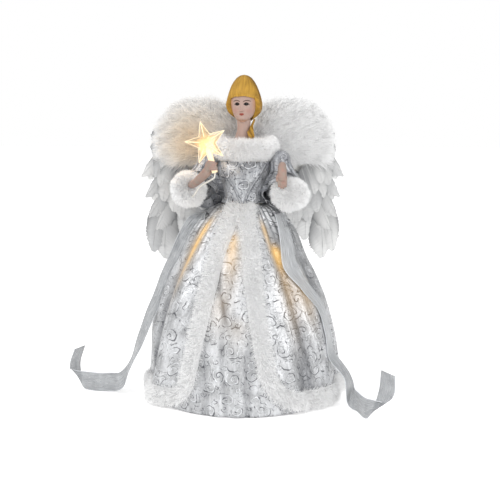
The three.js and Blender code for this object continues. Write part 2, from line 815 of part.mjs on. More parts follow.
function rightHand() {
  const arm = limb(rightHandPath, [2.9, 3, 2.9, 2.6, 3.4], 7, 8);
  const fingers = [0, 1, 2, 3].map((k) => {
    const grip = holderAt(20.5 + 2 * k - 2);
    const root = vec(3.7 + 0.5 * k, -43.2, -6.6 - 1.2 * k);
    const round = grip.clone().add(vec(-3.6, -1.6, 0.4));
    const tip = grip.clone().add(vec(-0.4, -4.1, 0.6));
    return limb([root, round, tip, grip.clone().add(vec(3, -3, 0.4))], [1.3, 1.2, 1.1, 0.8], 3, 5);
  });
  const thumb = limb(
    [vec(4.3, -42, -8), holderAt(21).add(vec(1.4, 3.8, 0)), holderAt(19).add(vec(3.8, 1.6, 0))],
    [1.5, 1.3, 0.9],
    3,
    6
  );
  const grip = rod(starHolderRadius + seatGap, holderAt(4), holderAt(34), 16);
  const core = wire(rightArmPath.slice(-4), armWireRadius + seatGap, 8);
  return cut(join(arm, ...fingers, thumb), grip, core, wire(leadPath.slice(0, 5), leadRadius + seatGap, 9));
}

// Faceted star: a ridge to every point and a valley to every notch, front and back.
function starBody(radius, notch, depth) {
  const points = [vec(0, -depth / 2, 0), vec(0, depth / 2, 0)];
  const faces = [];
  for (let i = 0; i < 10; i++) {
    const reach = i % 2 ? notch : radius;
    const a = rad(90 + starTilt + 36 * i);
    points.push(vec(reach * Math.cos(a), 0, reach * Math.sin(a)));
    const next = ((i + 1) % 10) + 2;
    faces.push([0, i + 2, next], [1, next, i + 2]);
  }
  return body(points, faces).translate(starCentre.x, starCentre.y, starCentre.z);
}

const starHollow = 1 - starWall / (starDepth / 2);
const star = cut(
  starBody(starRadius, starNotch, starDepth),
  starBody(starRadius * starHollow, starNotch * starHollow, starDepth * starHollow),
  rod(starHolderRadius + seatGap, holderAt(0), holderAt(14), 14)
);
const starLamp = join(
  rod(starHolderRadius, holderAt(holderStart + 3), holderAt(holderEnd), 14),
  rod(1.5, holderAt(holderStart - 2.4), holderAt(holderStart + 3.4), 12)
);

function shoulder(side) {
  const group = new THREE.Group();
  group.position.set(side * shoulderSpread, -shoulderForward, shoulderZ);
  return group;
}

const leftArm = shoulder(1);
leftArm.name = "left_arm";
leftArm.add(
  piece("left_arm_wire", wire(leftArmPath, armWireRadius, 14), "wire"),
  piece("left_sleeve", sleeve(1, 0, [leftSlit]), "brocade"),
  piece("left_cuff", cuff(1, 0, [leftHandSpace()]), "plush"),
  piece("left_hand", leftHand(), "skin")
);

function leftHandSpace() {
  return limb([...leftHandPath, vec(2.9, -21.6, -26)], [4, 5, 6, 6.4, 5.4], 10, 10);
}

const rightCuffSpaces = [
  limb(rightHandPath, [3.4, 3.5, 3.4, 3.1, 3.9], 7, 8),
  wire(leadPath, leadRadius + seatGap, 20),
];
const rightArm = shoulder(-1);
rightArm.name = "right_arm";
rightArm.add(
  piece("right_arm_wire", wire(rightArmPath, armWireRadius, 18), "wire"),
  piece("right_sleeve", sleeve(-1, rightCuffYaw, []), "brocade"),
  piece("right_cuff", cuff(-1, rightCuffYaw, rightCuffSpaces), "plush"),
  piece("right_hand", rightHand(), "skin"),
  piece("star", star, "clear"),
  piece("star_lamp", starLamp, "lamp"),
  piece("star_lead", wire(leadPath, leadRadius, 20), "lead")
);

// Wings, built flat as (outwards, up, forwards) and bent back over a cylinder.
function wingPoint(side, out, up, forward) {
  const bend = out / wingBend;
  const x = wingBend * Math.sin(bend) + forward * Math.sin(bend);
  const y = wingBend * (1 - Math.cos(bend)) - forward * Math.cos(bend);
  return vec(side * x, y, up);
}

const backingFront = wingWireRadius + seatGap + backingThickness;

// Vane outline: bare quill, broad middle, rounded tip.
const vaneShape = (t) => Math.max(0.06, Math.sin(Math.PI * t ** 1.2) ** 0.55);

function feather(side, tip, lean, length, width, layer) {
  const run = [Math.cos(rad(lean)), -Math.sin(rad(lean))];
  const bottom = backingFront + seatGap + layer;
  const place = (front) => (row, column) => {
    const across = 2 * column - 1;
    const t = 0.02 + 0.97 * row;
    const bow = 0.05 * length * Math.sin(Math.PI * t);
    const offset = across * 0.5 * width * vaneShape(t) + bow;
    const out = tip[0] - run[0] * length * (1 - t) - run[1] * offset;
    const up = tip[1] - run[1] * length * (1 - t) + run[0] * offset;
    const rise = front ? vaneThickness + quillHeight * (1 - Math.abs(across)) : 0;
    return wingPoint(side, out, up, bottom + rise);
  };
  return sheet(grid(8, 3, place(true)), grid(8, 3, place(false)));
}

// Flight feathers: tip outwards, tip up, lean below level, length, width
const flight = [
  [84, 2, 65, 60, 22],
  [88, -24, 69, 67, 23],
  [87, -50, 72, 73, 24],
  [84, -75, 76, 78, 25],
  [78, -99, 79, 82, 26],
  [61, -100, 83, 80, 25],
];
// Coverts: tip outwards, tip up, lean below level, length
const coverts = [
  [74, 14, 61, 45],
  [73, -13, 68, 48],
  [66, -40, 73, 50],
  [50, -60, 79, 52],
  [32, -62, 85, 50],
];

// Shorter feathers glued side by side: one sheet whose lower edge runs in rounded tips.
function covertRow(side) {
  const layer = backingFront + seatGap + 3 * layerPitch;
  const tips = coverts.map(([x, y]) => new THREE.Vector2(x, y));
  const roots = coverts.map(([x, y, lean, length]) => {
    const run = new THREE.Vector2(Math.cos(rad(lean)), -Math.sin(rad(lean)));
    return new THREE.Vector2(x, y).addScaledVector(run, -length);
  });
  const tipLine = new THREE.SplineCurve(tips);
  const rootLine = new THREE.SplineCurve(roots);
  const place = (front) => (row, column) => {
    const across = 2 * ((column * coverts.length) % 1) - 1;
    const reach = row * (1 - 0.3 * across * across);
    const at = rootLine.getPoint(column).lerp(tipLine.getPoint(column), reach);
    const rise = front ? vaneThickness + quillHeight * (1 - Math.abs(across)) : 0;
    return wingPoint(side, at.x, at.y, layer + rise);
  };
  const columns = coverts.length * 6 + 1;
  return sheet(grid(4, columns, place(true)), grid(4, columns, place(false)));
}

// Closed outline through a few points of the wing, read from 0 to 1
function outline(points) {
  return new THREE.SplineCurve([...points, points[0]].map(([x, y]) => new THREE.Vector2(x, y)));
}

// Flat pad on the wing: rings from its middle to its outline
function pad(side, points, count, layers) {
  const rim = outline(points);
  const middle = [0, 1].map((axis) => points.reduce((sum, p) => sum + p[axis], 0) / points.length);
  const rings = layers.map(([share, forward, lumps]) =>
    Array.from({ length: count }, (_, j) => {
      const at = rim.getPoint(j / count);
      const place = (turn * j) / count;
      const reach = share * (1 + lumps * Math.sin(place * 9) * Math.cos(place * 4));
      const out = middle[0] + (at.x - middle[0]) * reach;
      const up = middle[1] + (at.y - middle[1]) * reach;
      const thin = smoothstep(out, 12, 46);
      return wingPoint(side, out, up, Array.isArray(forward) ? mix(...forward, thin) : forward);
    })
  );
  return loft(rings);
}

const backingOutline = [
  [8, 34],
  [20, 47],
  [40, 52],
  [64, 43],
  [74, 20],
  [69, -12],
  [50, -32],
  [22, -28],
  [8, -6],
];
const downOutline = [
  [9, 30],
  [15, 50],
  [34, 57],
  [56, 51],
  [70, 35],
  [74, 16],
  [62, 7],
  [41, 1],
  [20, -5],
  [10, 4],
];

function wing(side, sweep) {
  const group = new THREE.Group();
  const name = side > 0 ? "left" : "right";
  const back = wingWireRadius + seatGap;
  const down = backingFront + 3 * layerPitch + vaneThickness + quillHeight + 2 * seatGap;
  const wirePath = [
    [0, -24, 0],
    [0, -14, 0],
    [0, -2, 0],
    [3, 10, 0],
    [13, 26, 0],
    [30, 37, 0],
    [47, 30, 0],
    [52, 8, 0],
  ].map(([out, up, forward]) => wingPoint(side, out, up, forward));
  const felt = pad(side, backingOutline, 20, [
    [0.2, back, 0],
    [0.6, back, 0],
    [1, back, 0],
    [1, back + backingThickness, 0],
    [0.6, back + backingThickness, 0],
    [0.2, back + backingThickness, 0],
  ]);
  const fluff = pad(side, downOutline, 24, [
    [0.2, down, 0],
    [0.58, down, 0],
    [0.94, down, 0],
    [1.03, [down + 1.2, down + 3], 0.05],
    [0.97, [down + 2.4, down + 7], 0.05],
    [0.72, [down + 3.4, down + 11.5], 0.08],
    [0.36, [down + 4, down + 13.5], 0.08],
    [0.1, [down + 4.2, down + 14], 0],
  ]);
  group.name = `${name}_wing`;
  group.position.set(side * wingHingeSpread, wingHingeBack, formHeight + wingRise);
  group.rotation.z = side * rad(sweep);
  group.add(
    piece(`${name}_wing_wire`, wire(wirePath, wingWireRadius, 22), "wire"),
    piece(`${name}_wing_backing`, felt, "felt"),
    ...flight.map(([x, y, lean, length, width], k) => {
      const vane = feather(side, [x, y], lean, length, width, (k % 3) * layerPitch);
      return piece(`${name}_flight_${k + 1}`, vane, "feather");
    }),
    piece(`${name}_covert_row`, covertRow(side), "feather"),
    piece(`${name}_down`, fluff, "feather")
  );
  return group;
}

// Wing anchor: a plate on the bodice's back with an upright eyelet for each wing wire
const anchorZ = formHeight + wingRise - 13;
const eyeletRods = (radius, reach, sides) =>
  [1, -1].map((side) => {
    const middle = vec(side * wingHingeSpread, wingHingeBack, anchorZ);
    return rod(radius, middle.clone().setZ(anchorZ - reach), middle.clone().setZ(anchorZ + reach), sides);
  });
const anchorBlock = box([20, wingHingeBack, 16], [0, wingHingeBack / 2, anchorZ]);
const wingAnchor = cut(
  join(cut(anchorBlock, bodiceSpace, box([40, 12, 40], [0, 4, anchorZ])), ...eyeletRods(2.8, 8, 16)),
  ...eyeletRods(eyeletBore, 30, 14)
);

// Battery box at the back of the hollow, on ribs that follow the form's wall
const boxWidth = 4 * cellRadius + 2 * boxWall + 3;
const boxDepth = 2 * cellRadius + boxWall + 1;
const boxHeight = cellLength + 2 * boxWall + 11;
const boxTop = boxRaise + boxHeight;
const boxBack = Math.sqrt((formRadius(boxTop) - formWall - 1) ** 2 - (boxWidth / 2) ** 2) - seatGap;
const boxMiddle = [0, boxBack - boxDepth / 2, boxRaise + boxHeight / 2];
const hollow = lathe(
  [[0, 0], ...levels.map((z) => [formRadius(z) - formWall - seatGap, z]), [0, formHeight]],
  36
);
const boxRib = (x) => common(box([4, 40, boxHeight - 12], [x, boxBack + 19, boxMiddle[2]]), hollow);
const boxCavity = [boxWidth - 2 * boxWall, boxDepth, boxHeight - 2 * boxWall];
const switchSlot = box([switchTravel + 4.8, 4.6, 6], [0, boxMiddle[1], boxRaise + 1]);
const batteryBox = cut(
  join(box([boxWidth, boxDepth, boxHeight], boxMiddle), boxRib(-10), boxRib(10)),
  box(boxCavity, [0, boxMiddle[1] - boxWall, boxMiddle[2]]),
  switchSlot,
  rod(leadRadius + 0.6, vec(0, boxMiddle[1], boxTop - 6), vec(0, boxMiddle[1], boxTop + 6), 12)
);
const doorY = boxBack - boxDepth - seatGap - boxDoor / 2;
const ridgeY = doorY - boxDoor / 2 - 0.4;
const doorRidges = [0, 1, 2, 3].map((k) => box([18, 1.2, 1], [0, ridgeY, boxRaise + 8 + 3 * k]));
const batteryDoor = join(box([boxWidth, boxDoor, boxHeight], [0, doorY, boxMiddle[2]]), ...doorRidges);
const cellX = cellRadius + 0.5;
const cellY = boxBack - boxWall - seatGap - cellRadius;
const cellZ = boxRaise + boxWall + 7;

function cell(side) {
  const shaft = rod(cellRadius, vec(0, 0, 0.2), vec(0, 0, cellLength - 1.4), 20);
  const nub = rod(2.6, vec(0, 0, cellLength - 2), vec(0, 0, cellLength), 12);
  const whole = join(shaft, nub);
  if (side < 0) {
    whole.rotateX(Math.PI).translate(0, 0, cellLength);
  }
  return whole.translate(side * cellX, cellY, cellZ);
}

const plateWidth = boxWidth - 2 * boxWall - 2;
const contactZ = boxRaise + boxWall + 2.2;
const springRise = cellZ - contactZ - seatGap;
const springContact = join(
  box([plateWidth, 9, 0.6], [0, cellY, contactZ + 0.3]),
  ...[-1, 1].map((side) => {
    const spring = new THREE.CylinderGeometry(1.8, 3.2, springRise - 0.3, 14).rotateX(Math.PI / 2);
    return spring.translate(side * cellX, cellY, contactZ + 0.3 + (springRise - 0.3) / 2);
  })
);
const bridgeZ = cellZ + cellLength + seatGap;
const bridgeContact = box([plateWidth, 9, boxTop - boxWall - seatGap - bridgeZ], [
  0,
  cellY,
  (bridgeZ + boxTop - boxWall - seatGap) / 2,
]);
const switchSlider = join(
  box([9, 7, 1], [-switchTravel / 2, boxMiddle[1], boxRaise + boxWall + seatGap + 0.5]),
  box([4, 3.8, 5.5], [-switchTravel / 2, boxMiddle[1], boxRaise + boxWall + seatGap - 2.25])
);

const boxOutlet = vec(0, boxMiddle[1], boxTop + seatGap);
const inside = (angle, share, inset) => {
  const z = share * formHeight;
  return around(rad(angle), formRadius(z) - inset, z);
};
const lampLeadPath = [
  boxOutlet,
  vec(0, boxMiddle[1] - 4, boxTop + 14),
  lampBack(lampSpots[3]),
  inside(125, 0.57, 20),
  lampBack(lampSpots[2]),
  inside(62, 0.62, 20),
  lampBack(lampSpots[1]),
  inside(22, 0.78, 16),
  lampBack(lampSpots[0]),
  inside(-32, 0.8, 16),
  lampBack(lampSpots[4]),
  inside(-44, 0.64, 18),
  lampBack(lampSpots[5]),
];

const topper = new THREE.Group();
topper.name = "angel_topper";
topper.add(
  piece("skirt_form", skirtForm, "plastic"),
  piece("torso_form", torso, "plastic"),
  piece("head", head, "skin"),
  piece("hair", hair, "hair"),
  piece("ringlet", ringlet, "hair"),
  piece("bodice", bodice, "brocade"),
  piece("collar", collar, "plush"),
  piece("underskirt", underskirt.rotateZ(rad(robeTurn)), "brocade"),
  piece("robe", robe.rotateZ(rad(robeTurn)), "brocade"),
  piece("front_trim_left", frontTrim(1).rotateZ(rad(robeTurn)), "plush"),
  piece("front_trim_right", frontTrim(-1).rotateZ(rad(robeTurn)), "plush"),
  piece("hem_trim", hemTrim.rotateZ(rad(robeTurn)), "plush"),
  piece("ribbon_left", ribbonLeft.rotateZ(rad(robeTurn)), "organza"),
  piece("ribbon_right", ribbonRight.rotateZ(rad(robeTurn)), "organza"),
  ...lampSpots.map((spot, k) => piece(`lamp_${k + 1}`, lampBody(spot), "lamp")),
  piece("lamp_lead", wire(lampLeadPath, leadRadius, 40), "lead"),
  piece("wing_anchor", wingAnchor, "plastic"),
  piece("battery_box", batteryBox, "box"),
  piece("battery_door", batteryDoor, "box"),
  piece("cell_left", cell(1), "cell"),
  piece("cell_right", cell(-1), "cell"),
  piece("spring_contact", springContact, "wire"),
  piece("bridge_contact", bridgeContact, "wire"),
  piece("switch_slider", switchSlider, "box"),
  leftArm,
  rightArm,
  wing(1, leftWingSweep),
  wing(-1, rightWingSweep)
);

export default topper;
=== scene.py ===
import math

import bpy
import numpy as np
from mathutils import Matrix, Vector


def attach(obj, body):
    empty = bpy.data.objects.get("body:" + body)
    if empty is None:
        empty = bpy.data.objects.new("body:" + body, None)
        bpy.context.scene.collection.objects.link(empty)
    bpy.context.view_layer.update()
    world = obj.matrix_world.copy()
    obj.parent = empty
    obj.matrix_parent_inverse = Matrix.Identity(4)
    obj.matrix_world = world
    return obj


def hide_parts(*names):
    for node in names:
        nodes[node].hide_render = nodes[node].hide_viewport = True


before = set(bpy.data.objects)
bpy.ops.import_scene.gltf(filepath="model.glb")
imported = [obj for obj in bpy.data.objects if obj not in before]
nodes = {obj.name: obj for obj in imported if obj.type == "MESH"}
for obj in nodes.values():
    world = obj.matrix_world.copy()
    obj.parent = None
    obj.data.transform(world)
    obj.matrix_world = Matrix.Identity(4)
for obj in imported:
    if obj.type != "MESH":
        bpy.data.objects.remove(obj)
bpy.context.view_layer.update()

mm = 0.001
turn = 2 * math.pi


# small maths on whole arrays; lengths are in millimetres

def rad(degrees):
    return np.radians(degrees)


def mix(a, b, t):
    # straight blend from a to b
    return a + (b - a) * t


def smoothstep(low, high, x):
    # 0 below low, 1 above high, a cubic ease between
    t = np.clip((x - low) / (high - low), 0, 1)
    return t * t * (3 - 2 * t)


def bell(x, y, x0, y0, wide, tall):
    # e to the minus squared distance from (x0, y0), measured in widths and heights
    return np.exp(-((x - x0) / wide) ** 2 - ((y - y0) / tall) ** 2)


def unit(v):
    # each vector divided by its length
    return v / np.maximum(np.linalg.norm(v, axis=-1, keepdims=True), 1e-9)


def vec(*parts):
    # grids of coordinates joined into one grid of points
    return np.stack(np.broadcast_arrays(*[np.asarray(c, float) for c in parts]), -1)


def ring(count):
    # angles all round, the last one short of a full turn
    return np.linspace(0, turn, count, endpoint=False)


def ripple(points, size, seed, waves=7):
    # soft unevenness: a sum of cosines in random directions, about one wave per size
    draw = np.random.default_rng(seed)
    aim = unit(draw.normal(size=(waves, 3))) * (turn / size) * draw.uniform(0.6, 1.5, (waves, 1))
    return np.cos(points @ aim.T + draw.uniform(0, turn, waves)).sum(-1) / waves ** 0.5


def turnedZ(p, degrees):
    # turn about the upright axis
    c, s = math.cos(rad(degrees)), math.sin(rad(degrees))
    return vec(c * p[..., 0] - s * p[..., 1], s * p[..., 0] + c * p[..., 1], p[..., 2])


def smoothPath(stops, count):
    # centripetal Catmull-Rom through the stops, count points evenly spread over the spans
    p = np.array(stops, float)
    p = np.vstack([2 * p[0] - p[1], p, 2 * p[-1] - p[-2]])
    place = np.linspace(0, len(stops) - 1, count)
    k = np.minimum(place.astype(int), len(stops) - 2)
    w = (place - k)[:, None]
    a, b, c, d = p[k], p[k + 1], p[k + 2], p[k + 3]
    gap = lambda u, v: np.maximum(np.linalg.norm(v - u, axis=1, keepdims=True), 1e-6) ** 0.5
    g0, g1, g2 = gap(a, b), gap(b, c), gap(c, d)
    m1 = ((b - a) / g0 - (c - a) / (g0 + g1) + (c - b) / g1) * g1
    m2 = ((c - b) / g1 - (d - b) / (g1 + g2) + (d - c) / g2) * g1
    return b + m1 * w + (3 * (c - b) - 2 * m1 - m2) * w ** 2 + (2 * (b - c) + m1 + m2) * w ** 3


def smoothTable(x, rows):
    # cubic curve through a table whose first column is x; returns its other columns
    t = np.array(rows, float)
    slopes = np.gradient(t[:, 1:], t[:, 0], axis=0)
    x = np.clip(x, t[0, 0], t[-1, 0])
    k = np.clip(np.searchsorted(t[:, 0], x, "right") - 1, 0, len(t) - 2)
    h = (t[k + 1, 0] - t[k, 0])[..., None]
    w = ((x - t[k, 0]) / h[..., 0])[..., None]
    a, b, ma, mb = t[k, 1:], t[k + 1, 1:], slopes[k] * h, slopes[k + 1] * h
    out = a + ma * w + (3 * (b - a) - 2 * ma - mb) * w ** 2 + (2 * (a - b) + ma + mb) * w ** 3
    return [out[..., i] for i in range(out.shape[-1])]


def numbered(rows):
    # a table whose first column is the row's number
    return [[k] + row for k, row in enumerate(rows)]


def runLength(line):
    # distance along a line, from 0 at its first point
    return np.cumsum(np.r_[0, np.linalg.norm(np.diff(line, axis=0), axis=1)])


# meshes

def gridFaces(rows, cols, joinRows=False, joinCols=False):
    # quads of a grid, row by row; a joined side closes on itself
    i = np.arange(rows if joinRows else rows - 1)[:, None]
    j = np.arange(cols if joinCols else cols - 1)[None, :]
    below, right = (i + 1) % rows, (j + 1) % cols
    corners = np.broadcast_arrays(i * cols + j, i * cols + right, below * cols + right, below * cols + j)
    return np.stack(corners, -1).reshape(-1, 4)


def gridUv(across, along):
    # UV of every quad's corners, from grids of both coordinates in metres
    uv = vec(across, along)
    return uv.reshape(-1, 2)[gridFaces(*uv.shape[:2])].reshape(-1, 2)


def gridNormals(grid, joinRows, joinCols):
    # cross product of the slopes along both sides of the grid
    slope = lambda axis, joined: (np.roll(grid, -1, axis) - np.roll(grid, 1, axis) if joined
                                  else np.gradient(grid, axis=axis))
    return unit(np.cross(slope(1, joinCols), slope(0, joinRows)))


def addObject(name, data):
    made = bpy.data.objects.new(name, data)
    bpy.context.scene.collection.objects.link(made)
    return made


def setPaint(mesh, colours):
    rgba = np.ones((len(mesh.vertices), 4), np.float32)
    rgba[:, :3] = colours
    mesh.attributes.new("paint", "FLOAT_COLOR", "POINT").data.foreach_set("color", rgba.ravel())


def addMesh(name, points, quads=(), tris=(), look=None, uv=None, values=None, paint=None):
    # points in mm; uv is one pair for each face corner, quads first; values are named numbers per point
    parts = [np.asarray(f, np.int32) for f in (quads, tris) if len(f)]
    corners = np.concatenate([f.ravel() for f in parts])
    sizes = np.concatenate([np.full(len(f), f.shape[1], np.int32) for f in parts])
    points = np.asarray(points).reshape(-1, 3)
    mesh = bpy.data.meshes.new(name)
    mesh.vertices.add(len(points))
    mesh.vertices.foreach_set("co", (points * mm).astype(np.float32).ravel())
    mesh.loops.add(len(corners))
    mesh.loops.foreach_set("vertex_index", corners)
    mesh.polygons.add(len(sizes))
    mesh.polygons.foreach_set("loop_start", (np.cumsum(sizes) - sizes).astype(np.int32))
    mesh.update(calc_edges=True)
    if uv is not None:
        mesh.uv_layers.new(name="cloth").data.foreach_set("uv", np.asarray(uv, np.float32).ravel())
    for key, numbers in (values or {}).items():
        numbers = np.asarray(numbers, np.float32).ravel()
        mesh.attributes.new(key, "FLOAT", "POINT").data.foreach_set("value", numbers)
    if paint is not None:
        setPaint(mesh, np.asarray(paint).reshape(-1, 3))
    mesh.materials.append(look)
    return addObject(name, mesh)


def merged(*parts):
    # joins (points, quads, tris) sets into one
    points, quads, tris, start = [], [], [], 0
    for p, q, t in parts:
        p = np.asarray(p).reshape(-1, 3)
        points.append(p)
        quads.append(np.asarray(q, int).reshape(-1, 4) + start)
        tris.append(np.asarray(t, int).reshape(-1, 3) + start)
        start += len(p)
    return np.concatenate(points), np.concatenate(quads), np.concatenate(tris)


def closedShell(grid):
    # a grid that closes round its columns, as a (points, quads, tris) set
    return grid, gridFaces(*grid.shape[:2], joinCols=True), []


def settle(piece, body, slot, *replaced):
    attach(piece, body)
    if replaced:
        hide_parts(*replaced)
    return piece


def sewn(name, grid, faces, look, uv, values, wall, body, node, slot="brocade"):
    # a cloth surface given its thickness inwards
    piece = addMesh(name, grid, faces, look=look, uv=uv, values=values)
    cloth = piece.modifiers.new("wall", "SOLIDIFY")
    cloth.thickness = wall * mm
    cloth.offset = -1
    return settle(piece, body, slot, node)


def srgb(r, g, b):
    # display colour to linear light
    c = np.array([r, g, b], float) / 255
    return tuple(np.where(c <= 0.04045, c / 12.92, ((c + 0.055) / 1.055) ** 2.4))


# materials

class Shading:
    # a node tree with short ways to add nodes; what goes in is a socket to link from, or a plain value

    def __init__(self, owner, **sockets):
        owner.use_nodes = True
        self.owner = owner
        self.tree = owner.node_tree
        self.shader = self.tree.nodes.get("Principled BSDF") or self.tree.nodes["Background"]
        self.set(**sockets)

    def feed(self, socket, value):
        if isinstance(value, bpy.types.NodeSocket):
            self.tree.links.new(value, socket)
        else:
            socket.default_value = (*value, 1) if socket.type == "RGBA" else value

    def set(self, **sockets):
        for key, value in sockets.items():
            self.feed(self.shader.inputs[key.replace("_", " ")], value)

    def put(self, kind, inputs=None, **settings):
        made = self.tree.nodes.new("ShaderNode" + kind)
        for key, value in settings.items():
            setattr(made, key, value)
        for key, value in (inputs or {}).items():
            self.feed(made.inputs[key], value)
        return made.outputs

    def maths(self, operation, a, b=0.0, c=0.0):
        return self.put("Math", {0: a, 1: b, 2: c}, operation=operation)[0]

    def plus(self, a, b):
        return self.maths("ADD", a, b)

    def minus(self, a, b):
        return self.maths("SUBTRACT", a, b)

    def times(self, a, b, plus=0.0):
        return self.maths("MULTIPLY_ADD", a, b, plus)

    def most(self, a, b):
        return self.maths("MAXIMUM", a, b)

    def vector(self, operation, a, b=(0, 0, 0), c=(0, 0, 0), give=0):
        return self.put("VectorMath", {0: a, 1: b, 2: c}, operation=operation)[give]

    def ramp(self, x, low, high, **ends):
        ends = {key.replace("_", " "): value for key, value in ends.items()}
        return self.put("MapRange", {"Value": x, "From Min": low, "From Max": high, **ends},
                        interpolation_type="SMOOTHSTEP")[0]

    def blend(self, share, a, b):
        return self.put("Mix", {0: share, 6: a, 7: b}, data_type="RGBA")[2]

    def noise(self, where, scale, detail, give=0, dimensions="2D"):
        inputs = {"Vector": where, "Scale": scale, "Detail": detail}
        return self.put("TexNoise", inputs, noise_dimensions=dimensions)[give]

    def grain(self, scale, detail):
        # noise through the piece's own space
        return self.noise(self.place(), scale, detail, dimensions="3D")

    def value(self, name):
        return self.put("Attribute", attribute_name=name)["Fac"]

    def place(self):
        return self.put("TexCoord")["Object"]

    def clothUv(self):
        return self.put("UVMap", uv_map="cloth")[0]

    def stretched(self, where, x, y):
        return self.put("Mapping", {"Vector": where, "Scale": (x, y, 1.0)})[0]

    def bump(self, height, strength, distance):
        inputs = {"Height": height, "Strength": strength, "Distance": distance}
        self.set(Normal=self.put("Bump", inputs)[0])

    def letThrough(self, colour, share):
        # a thin surface passes part of the light that falls on its other side
        thin = self.put("BsdfTranslucent", {"Color": colour})[0]
        both = self.put("MixShader", {0: share, 1: self.shader.outputs[0], 2: thin})[0]
        self.feed(self.tree.nodes["Material Output"].inputs["Surface"], both)


def newLook(name, **sockets):
    return Shading(bpy.data.materials.new(name), **sockets)


def moulded(name, colour, roughness, grain=900.0, metallic=0.0, depth=0.00012):
    # moulded or drawn surface: faint cloudiness in the colour, fine grain in gloss and relief
    look = newLook(name, Metallic=metallic)
    cloud, fine = look.grain(grain / 14, 3.0), look.grain(grain, 4.0)
    shaded = tuple(c * 0.88 for c in colour)
    look.set(Base_Color=look.blend(look.ramp(cloud, 0.3, 0.7), shaded, colour),
             Roughness=look.times(fine, 0.2, roughness - 0.1))
    look.bump(fine, 0.35, depth)
    return look.owner


# curls are (cell, pitch, reach) in metres; noise layers are (waves per metre, detail)
scroll = dict(
    big=(0.0178, 0.0042, 0.0077), small=(0.0098, 0.003, 0.0037), loose=0.85, sway=0.005, relief=0.0005,
    highlight=srgb(236, 238, 241), line=srgb(66, 68, 74), glow=srgb(255, 200, 96), glowAmber=srgb(196, 160, 104),
    layers=dict(drift=(95.0, 0.6), wear=(130.0, 2.0), cloud=(55.0, 4.0), specks=(420.0, 3.0)),
    hanging=dict(threads=(0.16, 2600.0, 2.0), crumple=(0.4, 110.0, 2.5), streak=(0.2, 330.0, 3.0)),
)


def curls(look, where, cell, pitch, reach):
    # every cell of a loose grid holds one spiral, whose phase is radius over pitch plus angle over a turn;
    # a dark line, the pattern's print with painted shade, runs beside a painted highlight,
    # as on an embossed foil
    inputs = {"Vector": where, "Scale": 1 / cell, "Randomness": scroll["loose"]}
    cells = look.put("TexVoronoi", inputs, voronoi_dimensions="2D")
    local = look.vector("SUBTRACT", where, cells["Position"])
    xy = look.put("SeparateXYZ", {0: local})
    chance = look.put("SeparateColor", {0: cells["Color"]})
    radius = look.vector("LENGTH", local, give="Value")
    side = look.maths("SIGN", look.minus(chance[0], 0.5))
    share = look.maths("DIVIDE", look.maths("ARCTAN2", xy[1], xy[0]), turn)
    phase = look.plus(look.plus(look.maths("DIVIDE", radius, pitch), look.times(share, side)), chance[1])
    inside = look.minus(1.0, look.ramp(radius, reach * 0.8, reach))
    dark = look.ramp(look.maths("PINGPONG", phase, 0.5), 0.37, 0.45)
    bright = look.ramp(look.maths("PINGPONG", look.plus(phase, 0.24), 0.5), 0.38, 0.47)
    return inside, look.times(dark, inside), look.times(bright, inside)


def brocade(name, ground, fleck, glowing=False):
    # scroll brocade on the cloth's own UV, in metres: large curls, small ones between them, and thin vines
    look = newLook(name, Metallic=0.5, Emission_Color=scroll["glow"])
    where = look.clothUv()
    drift, wear, cloud, specks = (look.noise(where, *layer) for layer in scroll["layers"].values())
    threads, crumple, streak = (look.noise(look.stretched(where, 1.0, squash), *layer)
                                for squash, *layer in scroll["hanging"].values())
    sway = look.noise(where, 120.0, 1.5, give="Color")
    swayed = look.vector("MULTIPLY_ADD", sway, (scroll["sway"], scroll["sway"], 0.0), where)
    inside, dark, bright = curls(look, swayed, *scroll["big"])
    darkSmall, brightSmall = curls(look, swayed, *scroll["small"])[1:]
    outside = look.minus(1.0, inside)
    near = look.maths("ABSOLUTE", look.minus(drift, 0.5))
    vine = look.times(look.minus(1.0, look.ramp(near, 0.008, 0.02)), outside)
    dark = look.most(dark, look.times(look.most(darkSmall, vine), outside))
    bright = look.most(bright, look.times(brightSmall, outside))
    dark = look.times(dark, look.ramp(wear, 0.42, 0.6))
    bright = look.times(bright, look.ramp(wear, 0.66, 0.5))
    coats = [  # laid over each other in this order: share, colour
        # dark and bright streaks: painted shade and painted highlight on the foil's crinkles
        (look.times(look.ramp(streak, 0.44, 0.3), 0.16), "line"),
        (look.times(look.ramp(streak, 0.54, 0.7), 0.3), "highlight"),
        # painted sheen on the threads, then the painted highlight beside each curl's line
        (look.times(look.ramp(threads, 0.55, 0.75), 0.4), "highlight"),
        (look.times(bright, 0.9), "highlight"),
        (look.times(look.ramp(specks, 0.6, 0.72), fleck), "line"),
        # the curls' dark lines: print with painted shade
        (look.times(dark, 0.85), "line"),
        # painted shade in the fold valleys and beside the seams
        (look.times(look.value("valleyShade"), 0.6), "line")]
    # painted lamp light: the lamps' glow is painted on the cloth as emission and an amber colour
    if glowing:  # the lamps behind tint the cloth and shine through it
        lit = look.value("glow")
        look.set(Emission_Strength=look.times(lit, 0.6))
        coats.append((look.maths("MINIMUM", look.times(lit, 1.1), 0.6), "glowAmber"))
    cloth = look.blend(look.ramp(cloud, 0.34, 0.66), tuple(c * 0.66 for c in ground), ground)
    for share, tone in coats:
        cloth = look.blend(share, cloth, scroll[tone])
    look.set(Base_Color=cloth, Roughness=look.times(threads, 0.3, 0.22))
    height = look.times(threads, 0.3, look.minus(bright, dark))
    height = look.times(specks, 0.8, look.times(crumple, 4.0, height))
    look.bump(look.times(streak, 0.8, height), 0.75, scroll["relief"])
    return look.owner


